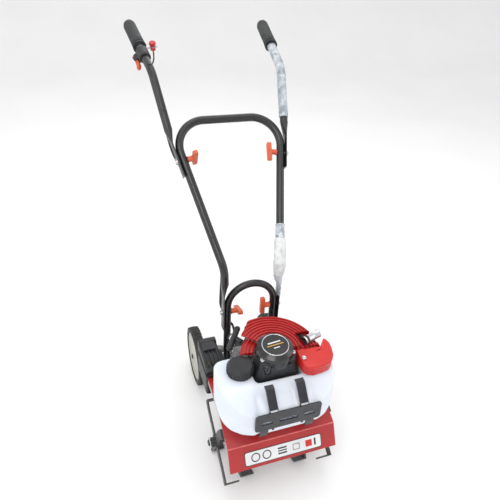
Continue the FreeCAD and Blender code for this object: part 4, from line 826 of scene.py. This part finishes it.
def shroud_patch(name, first, last, rim, height, slope):
    """The ribbed shroud carried on round the engine between two angles, out to a rim."""
    columns = 40
    rows = 64
    inner = 50
    ridge_pitch = 9.2
    ridge_height = 2.2
    rolled_rim = 12
    upper = []
    for row in range(rows + 1):
        radius = inner + (rim - inner) * row / rows
        phase = ((radius - 48.3) / ridge_pitch) % 1.0
        ridge = ridge_height * smooth_step(1 - abs(phase - 0.5) * 3.4)
        drop = slope * (radius - inner) + 5 * smooth_step((radius - rim + rolled_rim) / rolled_rim)
        for column in range(columns + 1):
            angle = math.radians(first + (last - first) * column / columns)
            upper.append(polar(radius, angle, height - drop + ridge))
    lower = [Vector((point.x, point.y, min(point.z - 3, height - 9))) for point in upper]
    width = columns + 1
    faces = []
    count = len(upper)
    for row in range(rows):
        for column in range(columns):
            low = row * width + column
            faces.append((low, low + width, low + width + 1, low + 1))
            faces.append((count + low, count + low + 1, count + low + width + 1, count + low + width))
    border = list(range(width)) + [row * width + columns for row in range(1, rows + 1)]
    border += [rows * width + column for column in range(columns - 1, -1, -1)]
    border += [row * width for row in range(rows - 1, 0, -1)]
    for start, stop in zip(border, border[1:] + border[:1]):
        faces.append((start, stop, count + stop, count + start))
    mesh = mesh_from(name, upper + lower, faces)
    mesh.transform(ENGINE_MM)
    shade_by_angle(place(name, mesh, "base", "shroud"), 50)


def turn_to(way):
    """The rotation that stands a lathe's axis along a direction."""
    return Vector((0, 0, 1)).rotation_difference(way.normalized()).to_matrix().to_4x4()


def breather_hose():
    """Black hose from the carburettor's side over to the starter housing, with two bright clamps."""
    start = Vector((-84, 47, 370))
    end = Vector((-41, -9, 366))
    points = [start, start.lerp(end, 0.3) + Vector((0, 0, 2)), start.lerp(end, 0.7), end]
    tube("breather_hose", points, 8.2, "base", "rubber")
    turn = turn_to(end - start)
    band = [(8.3, 0), (9.2, 0.3), (9.2, 4.2), (8.3, 4.5)]
    for k, share in enumerate((0.06, 0.86)):
        clamp = lathe(band, 48, WORLD_MM @ Matrix.Translation(start.lerp(end, share)) @ turn)
        place(f"hose_clamp_{k}", clamp, "base", "plated")


def outlet_sleeve():
    """Bright sleeve on the silencer's outlet, with its dark bore."""
    frame_sleeve = ENGINE_MM @ Matrix.Translation((84, 6.6, 295)) @ turn_to(Vector((40, 14, 0)))
    sleeve = [(10.1, -1), (10.9, -0.4), (11, 12), (10.5, 13), (10.5, 44), (11.1, 45.5), (11.1, 47.2),
              (10.2, 48), (8.4, 48), (8.1, 46.4), (8.1, 20)]
    place("outlet_sleeve", lathe(sleeve, 64, frame_sleeve), "base", "plated")
    strap = [(11.2, 3), (11.9, 3.5), (11.9, 9.5), (11.2, 10)]
    place("outlet_band", lathe(strap, 64, frame_sleeve), "base", "heat")


def filter_details():
    """Tray, foot, step, side block, ribs and screw of the air cleaner."""
    low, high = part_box("filter_cover")
    base_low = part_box("filter_base")[0]
    left_x, right_x = low[0] / MM, high[0] / MM
    front, back = low[1] / MM, high[1] / MM
    split, top = low[2] / MM, high[2] / MM
    bottom = base_low[2] / MM
    rim = 2.5
    parts = [("filter_tray", (left_x - rim, front - rim, split - 6),
              (right_x + rim, back + rim, split - 1), 1.2),
             ("filter_foot", (left_x + 3, front + 6, bottom - 3), (right_x - 3, back - 8, bottom + 3), 1.5),
             ("filter_step", (left_x + 6, back - 46, top - 12), (right_x - 8, back - 3, top - 1.2), 1.6),
             ("filter_block", (right_x - 1, front + 26, split + 2), (right_x + 9, back - 34, top - 20), 2.0)]
    for name, start, stop, bevel in parts:
        place(name, box_mesh(name, start, stop, WORLD_MM, bevel), "base", "moulding")
    rib_pitch = 11
    for k in range(4):
        name = f"filter_rib_{k}"
        x = left_x + 8 + k * rib_pitch
        mesh = box_mesh(name, (x, front + 10, top - 17.5), (x + 3, back - 22, top - 5.5), WORLD_MM, 0.9)
        place(name, mesh, "base", "moulding")
    screw = [(0, 0), (7, 0), (7, 4), (5.6, 5.4), (2.6, 5.4), (2.4, 3.8), (0, 3.8)]
    turn = Matrix.Translation((right_x - 9, front - 2, split + 4)) @ Matrix.Rotation(math.radians(90), 4, "X")
    place("filter_screw", lathe(screw, 32, WORLD_MM @ turn), "base", "plated")


def fuel_line():
    """Thin clear hose from the tank to the carburettor."""
    points = [(-64, -30, 285), (-62, -18, 290), (-64, -2, 300), (-66, 14, 306), (-63, 30, 305),
              (-61, 40, 303)]
    tube("fuel_line", points, 2.6, "base", "film")


starter_emblem()
cowl_details()
side_cover()
shroud_patch("shroud_right", -9, 44, 124, 281, 0.08)
shroud_patch("shroud_left", 129, 166, 84, 283, 0.12)
breather_hose()
outlet_sleeve()
filter_details()
fuel_line()


# ---------------------------------------------------------------- guard


def guard_details():
    """Rounded crease, side flanges, and the white plate with plain marks."""
    lip = Vector((0, -186, 133))
    crease = Vector((0, -157, 190))
    rise = Vector((0, -70, 230))
    up = (crease - lip).normalized()
    out = Vector((0, -up.z, up.y))
    # a thin ridge along the crease, coloured a lighter red as a painted highlight
    ridge = [(0, -144.6), (1.3, -144.2), (1.7, -142), (1.7, 142), (1.3, 144.2), (0, 144.6)]
    across = Matrix.Rotation(math.radians(90), 4, "Y")
    frame_ridge = WORLD_MM @ Matrix.Translation(crease + Vector((0, 0.6, -0.5))) @ across
    place("guard_ridge", lathe(ridge, 24, frame_ridge), "base", "crease")
    outline = [lip + Vector((0, 1.4, 0.4)), crease + Vector((0, 0.6, -1.6)), rise + Vector((0, 0, -1.8)),
               Vector((0, 40, 228)), Vector((0, 40, 214)), rise + Vector((0, 0, -11)),
               crease + Vector((0, 8, -8.5)), lip + Vector((0, 11, 0))]
    # the flanges' pale grey is a painted reflection
    for side, name in SIDE_NAME.items():
        shift = Vector((side * 143.4, 0, 0))
        inner = [point + shift for point in outline]
        outer = [point + shift + Vector((side * 1.5, 0, 0)) for point in outline]
        rings = [inner, outer] if side > 0 else [outer, inner]
        mesh = rings_mesh("guard_flange_" + name, rings)
        mesh.transform(WORLD_MM)
        piece = place("guard_flange_" + name, mesh, "base", "flange")
        shade_by_angle(piece, 30)
    centre = lip + up * 27 + out * 0.25
    turn = Matrix((Vector((1, 0, 0)), up, out)).transposed().to_4x4()
    face = WORLD_MM @ Matrix.Translation(centre) @ turn
    for name, half_x, half_y, low, high, finish in (
            ("label_border", 105, 18.5, 0, 0.5, "ink"), ("label_plate", 103.2, 16.8, 0.3, 0.8, "label")):
        mesh = mesh_from(name, *prism(rounded_outline(half_x, half_y, 5), low, high, face), smooth=False)
        place(name, mesh, "base", finish)
    ring = [(9.2, 0.7), (9.2, 1.1), (11.8, 1.1), (11.8, 0.7), (9.2, 0.7)]
    for k, x in enumerate((-76, -46)):
        mark = lathe(ring, 48, face @ Matrix.Translation((x, 0, 0)))
        place(f"label_ring_{k}", mark, "base", "ink")
    marks = [("label_block_0", (-16, -9, 0.7), (8, -5, 1.1), "ink"),
             ("label_block_1", (-16, -1.5, 0.7), (8, 1.5, 1.1), "ink"),
             ("label_block_2", (-16, 5, 0.7), (8, 9, 1.1), "ink"),
             ("label_square_0", (24, -9, 0.7), (44, 9, 1.0), "flange"),
             ("label_square_1", (27, -6, 0.8), (41, 6, 1.2), "label"),
             ("label_red", (60, -9, 0.7), (78, 9, 1.1), "panel"),
             ("label_bar", (84, -9, 0.7), (89, 10, 1.1), "ink")]
    for name, start, stop, finish in marks:
        place(name, box_mesh(name, start, stop, face, 0.15), "base", finish)


guard_details()


# ---------------------------------------------------------------- bumper and small parts

FINGER_X = 39


def joined(*solids):
    """One set of faces from (outline, low, high, matrix) prisms."""
    shape = bmesh.new()
    for outline, low, high, matrix in solids:
        shape.from_mesh(mesh_from("solid", *prism(outline, low, high, matrix), smooth=False))
    bmesh.ops.recalc_face_normals(shape, faces=shape.faces)
    mesh = bpy.data.meshes.new("joined")
    shape.to_mesh(mesh)
    shape.free()
    return mesh


def bumper():
    """Black slotted bumper with two fingers over the tank and two feet, in place of the plain one."""
    front = -175.5
    upright = Matrix.Translation((0, front, 290)) @ Matrix.Rotation(math.radians(90), 4, "X")
    finger = [(front, 298), (front, 322), (front + 0.6, 324.6), (-143, 358), (-140.6, 359.8), (-129.5, 360.6),
              (-129.5, 356.9), (-137.6, 356.8), (-139.6, 355.4), (front + 3.4, 322.6), (front + 3, 321),
              (front + 3, 298)]
    foot = [(front - 1.5, 272), (front + 1.5, 272), (front + 1.5, 253), (-168, 233.6), (-128, 233.6),
            (-123, 207.6), (-126, 206.2), (-131, 231), (-171, 231), (front - 1.5, 251)]
    sideways = Matrix(((0, 0, 1, 0), (1, 0, 0, 0), (0, 1, 0, 0), (0, 0, 0, 1)))
    solids = [(rounded_outline(85, 28, 9), 0, 3, upright)]
    for outline, middle, half in ((finger, FINGER_X, 11), (foot, 60, 10)):
        for side in (-1, 1):
            solids.append((outline, side * middle - half, side * middle + half, sideways))
    tab = [(-3, -34), (3, -34), (3, -25), (-3, -25)]
    for middle in (-56, -38, 38, 56):
        solids.append((tab, 0.2, 2.8, Matrix.Translation((middle, 0, 0)) @ upright))
    slots = []
    for middle, half in ((-55, 15), (0, 24), (55, 15)):
        where = Matrix.Translation((middle, 0, -4)) @ upright
        slots.append((rounded_outline(half, 5.2, 4.8), -20, 20, where))
    cutter = bpy.data.objects.new("bumper_slots", joined(*slots))
    bpy.context.scene.collection.objects.link(cutter)
    mesh = applied("bumper", joined(*solids), ("BOOLEAN", {"object": cutter, "operation": "DIFFERENCE",
                                                           "solver": "EXACT", "use_self": True}))
    bpy.data.objects.remove(cutter)
    mesh.transform(WORLD_MM)
    piece = place("bumper", mesh, "base", "bracket", ["tank_bracket"])
    bevelled(piece, 0.7)
    shade_by_angle(piece, 35)


def axle_caps_and_fold_glints():
    """Axle caps, and bright strips on the folds of the bumper's fingers, a painted highlight."""
    cap = [(0, 5.4), (3.4, 5.2), (6.4, 3.8), (8.2, 1.4), (8.4, 0), (0, 0)]
    fold = Vector((0, -34, 33.8)).angle(Vector((0, 0, 1)))
    for side, name in SIDE_NAME.items():
        where = Vector((side * 140.6, AXLE_Y / MM, AXLE_Z / MM))
        turn = Matrix.Translation(where) @ Matrix.Rotation(math.radians(90 * side), 4, "Y")
        place("axle_cap_" + name, lathe(cap, 40, WORLD_MM @ turn), "wheel_" + name, "cap")
    for side, name in SIDE_NAME.items():
        # bright plated strips on the fingers' folds stand for a highlight on the paint: a painted highlight
        turn = Matrix.Translation((side * FINGER_X, -175.9, 322)) @ Matrix.Rotation(fold, 4, "X")
        glint_strip = box_mesh("finger_fold_glint_" + name, (-9, -2.4, -0.8), (9, 2.4, 0.9), WORLD_MM @ turn, 0.7)
        place("finger_fold_glint_" + name, glint_strip, "base", "plated")


bumper()
axle_caps_and_fold_glints()


# ---------------------------------------------------------------- backdrop and light


def backdrop():
    """Plain pale floor that curves up behind the machine."""
    rings = []
    for y, z in ((-9, 0), (3.0, 0), (4.2, 0.12), (5.2, 0.6), (5.8, 1.6), (6, 3), (6, 9)):
        rings.append([Vector((-12, y, z)), Vector((12, y, z))])
    vertices = [point for ring in rings for point in ring]
    faces = [(2 * k, 2 * k + 1, 2 * k + 3, 2 * k + 2) for k in range(len(rings) - 1)]
    mesh = mesh_from("backdrop", vertices, faces)
    floor = bpy.data.objects.new("backdrop", mesh)
    bpy.context.scene.collection.objects.link(floor)
    paper = Shader("backdrop_paper", (0.93, 0.93, 0.93), 0.9, specular=0.1)
    paper.mottle((0.91, 0.91, 0.91), 2)
    mesh.materials.append(paper.material)


def area_light(name, position, target, size, power):
    """A rectangular white light, aimed at a point."""
    data = bpy.data.lights.new(name, "AREA")
    data.shape = "RECTANGLE"
    data.size, data.size_y = size
    data.energy = power
    lamp = bpy.data.objects.new(name, data)
    lamp.location = position
    way = Vector(target) - Vector(position)
    lamp.rotation_euler = way.to_track_quat("-Z", "Y").to_euler()
    bpy.context.scene.collection.objects.link(lamp)


def studio():
    """The backdrop, five soft lights and an even white world."""
    backdrop()
    middle = (0, 0.2, 0.45)
    area_light("key", (-1.2, -1.6, 2.9), middle, (1.8, 1.8), 30)
    area_light("top", (0.2, 0.5, 3.4), middle, (2.6, 2.6), 18)
    area_light("right", (2.6, -0.6, 1.5), middle, (1.4, 1.8), 9)
    area_light("left", (-2.6, 0.4, 1.4), middle, (1.4, 1.8), 9)
    area_light("back", (0.3, 2.8, 2.2), middle, (2.4, 1.4), 12)
    world = bpy.data.worlds.new("world")
    world.use_nodes = True
    world.node_tree.nodes["Background"].inputs["Color"].default_value = (1, 1, 1, 1)
    world.node_tree.nodes["Background"].inputs["Strength"].default_value = 0.86
    bpy.context.scene.world = world
    bpy.context.scene.view_settings.view_transform = "Standard"


studio()
